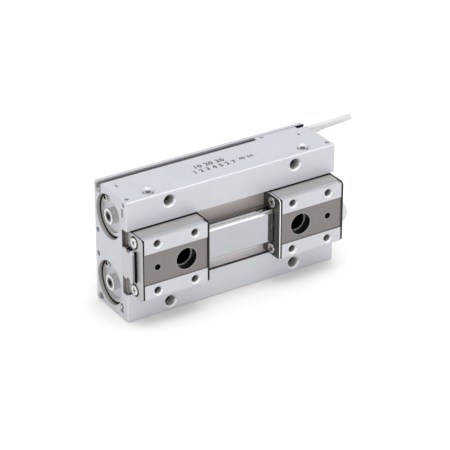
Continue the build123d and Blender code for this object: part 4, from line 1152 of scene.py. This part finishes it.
# %% Plate screws on both fingers
SCREW_TURNS = (12, 50, 31, 74)
for finger in ("left", "right"):
    copies = []
    plates = [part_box(finger + "_outer_plate"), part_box(finger + "_inner_plate")]
    left_face = min(box[0].x for box in plates)
    right_face = max(box[1].x for box in plates)
    seats = ((left_face, -1, -1), (left_face, -1, 1), (right_face, 1, -1), (right_face, 1, 1))
    for turn, (face, outward, side_z) in zip(SCREW_TURNS, seats):
        spin = Matrix.Rotation(math.radians(turn), 4, "Z")
        lean = Matrix.Rotation(outward * math.pi / 2, 4, "Y")
        place = Matrix.Translation((face, PLATE_SCREW_Y, MID_Z + side_z * PLATE_SCREW_HALF))
        copies.append(copy_of(screw_master, place @ lean @ spin))
    settle(join(copies), finger + "_cross_screws", finger + "_finger", screw_steel, "screw_steel",
           finger + "_plate_screws")
bpy.data.objects.remove(screw_master)
print("plate screws made")

# %% [markdown]
# The print on the top face is plain numbers in three rows with a small mark at each end, and each
# bore's corner of the left end carries a number. Ink could be a mask too, but digits are easier as
# text. A text object is set in Blender's own face, made a little bolder and given a hair of
# thickness, made a mesh, and laid on its face.

# %% Printing ink
INK_THICKNESS = 0.01 * MM
BOLDER = 0.035
DIGIT_SPACING = 1.12
ink = finish("ink", (0.07, 0.07, 0.075), metallic=0.0, roughness=0.6, grain=0.2, variety=0.2, bump=0.002)


def printed(name, digits, height, matrix):
    """Digits of a height, in ink, in the plane of a matrix."""
    clear_selection()
    bpy.ops.object.text_add(location=(0, 0, 0))
    text = bpy.context.object
    text.data.body = digits
    text.data.size = height
    text.data.space_character = DIGIT_SPACING
    text.data.extrude = INK_THICKNESS
    text.data.offset = BOLDER * height
    bpy.ops.object.convert(target="MESH")
    piece = bpy.context.object
    piece.data.transform(matrix)
    settle(piece, name, "body", ink, "body_aluminium")


print("ink is ready")

# %% [markdown]
# Each line of print is one row of a table, with its digits, its height and its place. The digits on
# the left end are turned by a matrix whose columns say where the text's right, top and front go:
# towards the fingers, up, and out of the face.

# %% Printed numbers, with height and place in millimetres
TOP_PRINT = (
    ("print_row_1", "10 20 30", 3.9, (-12.0, 3.3)),
    ("print_row_2", "1 2 3 4 5 2 7", 3.7, (-14.6, -0.8)),
    ("print_row_3", "40 50", 2.9, (9.4, 0.3)),
    ("left_mark", "3", 2.6, (-49.8, 6.5)),
    ("right_mark", "4", 2.6, (44.9, 7.0)))
END_PRINT = (("end_number_1", "1", (-4.4, 50.6)), ("end_number_2", "2", (-2.7, 3.4)))
END_NUMBER_HEIGHT = 5.6
TOP = body_high.z + 0.5 * INK_THICKNESS
LEFT_END = body_low.x - 0.5 * INK_THICKNESS
TOWARDS_LEFT = Matrix(((0, 0, -1, LEFT_END), (-1, 0, 0, 0), (0, 1, 0, 0), (0, 0, 0, 1)))
for name, digits, height, (x_place, y_place) in TOP_PRINT:
    printed(name, digits, height * MM, Matrix.Translation((x_place * MM, y_place * MM, TOP)))
for name, digits, (y_place, z_place) in END_PRINT:
    printed(name, digits, END_NUMBER_HEIGHT * MM,
            Matrix.Translation((0, y_place * MM, z_place * MM)) @ TOWARDS_LEFT)
print("numbers printed", len(TOP_PRINT) + len(END_PRINT))
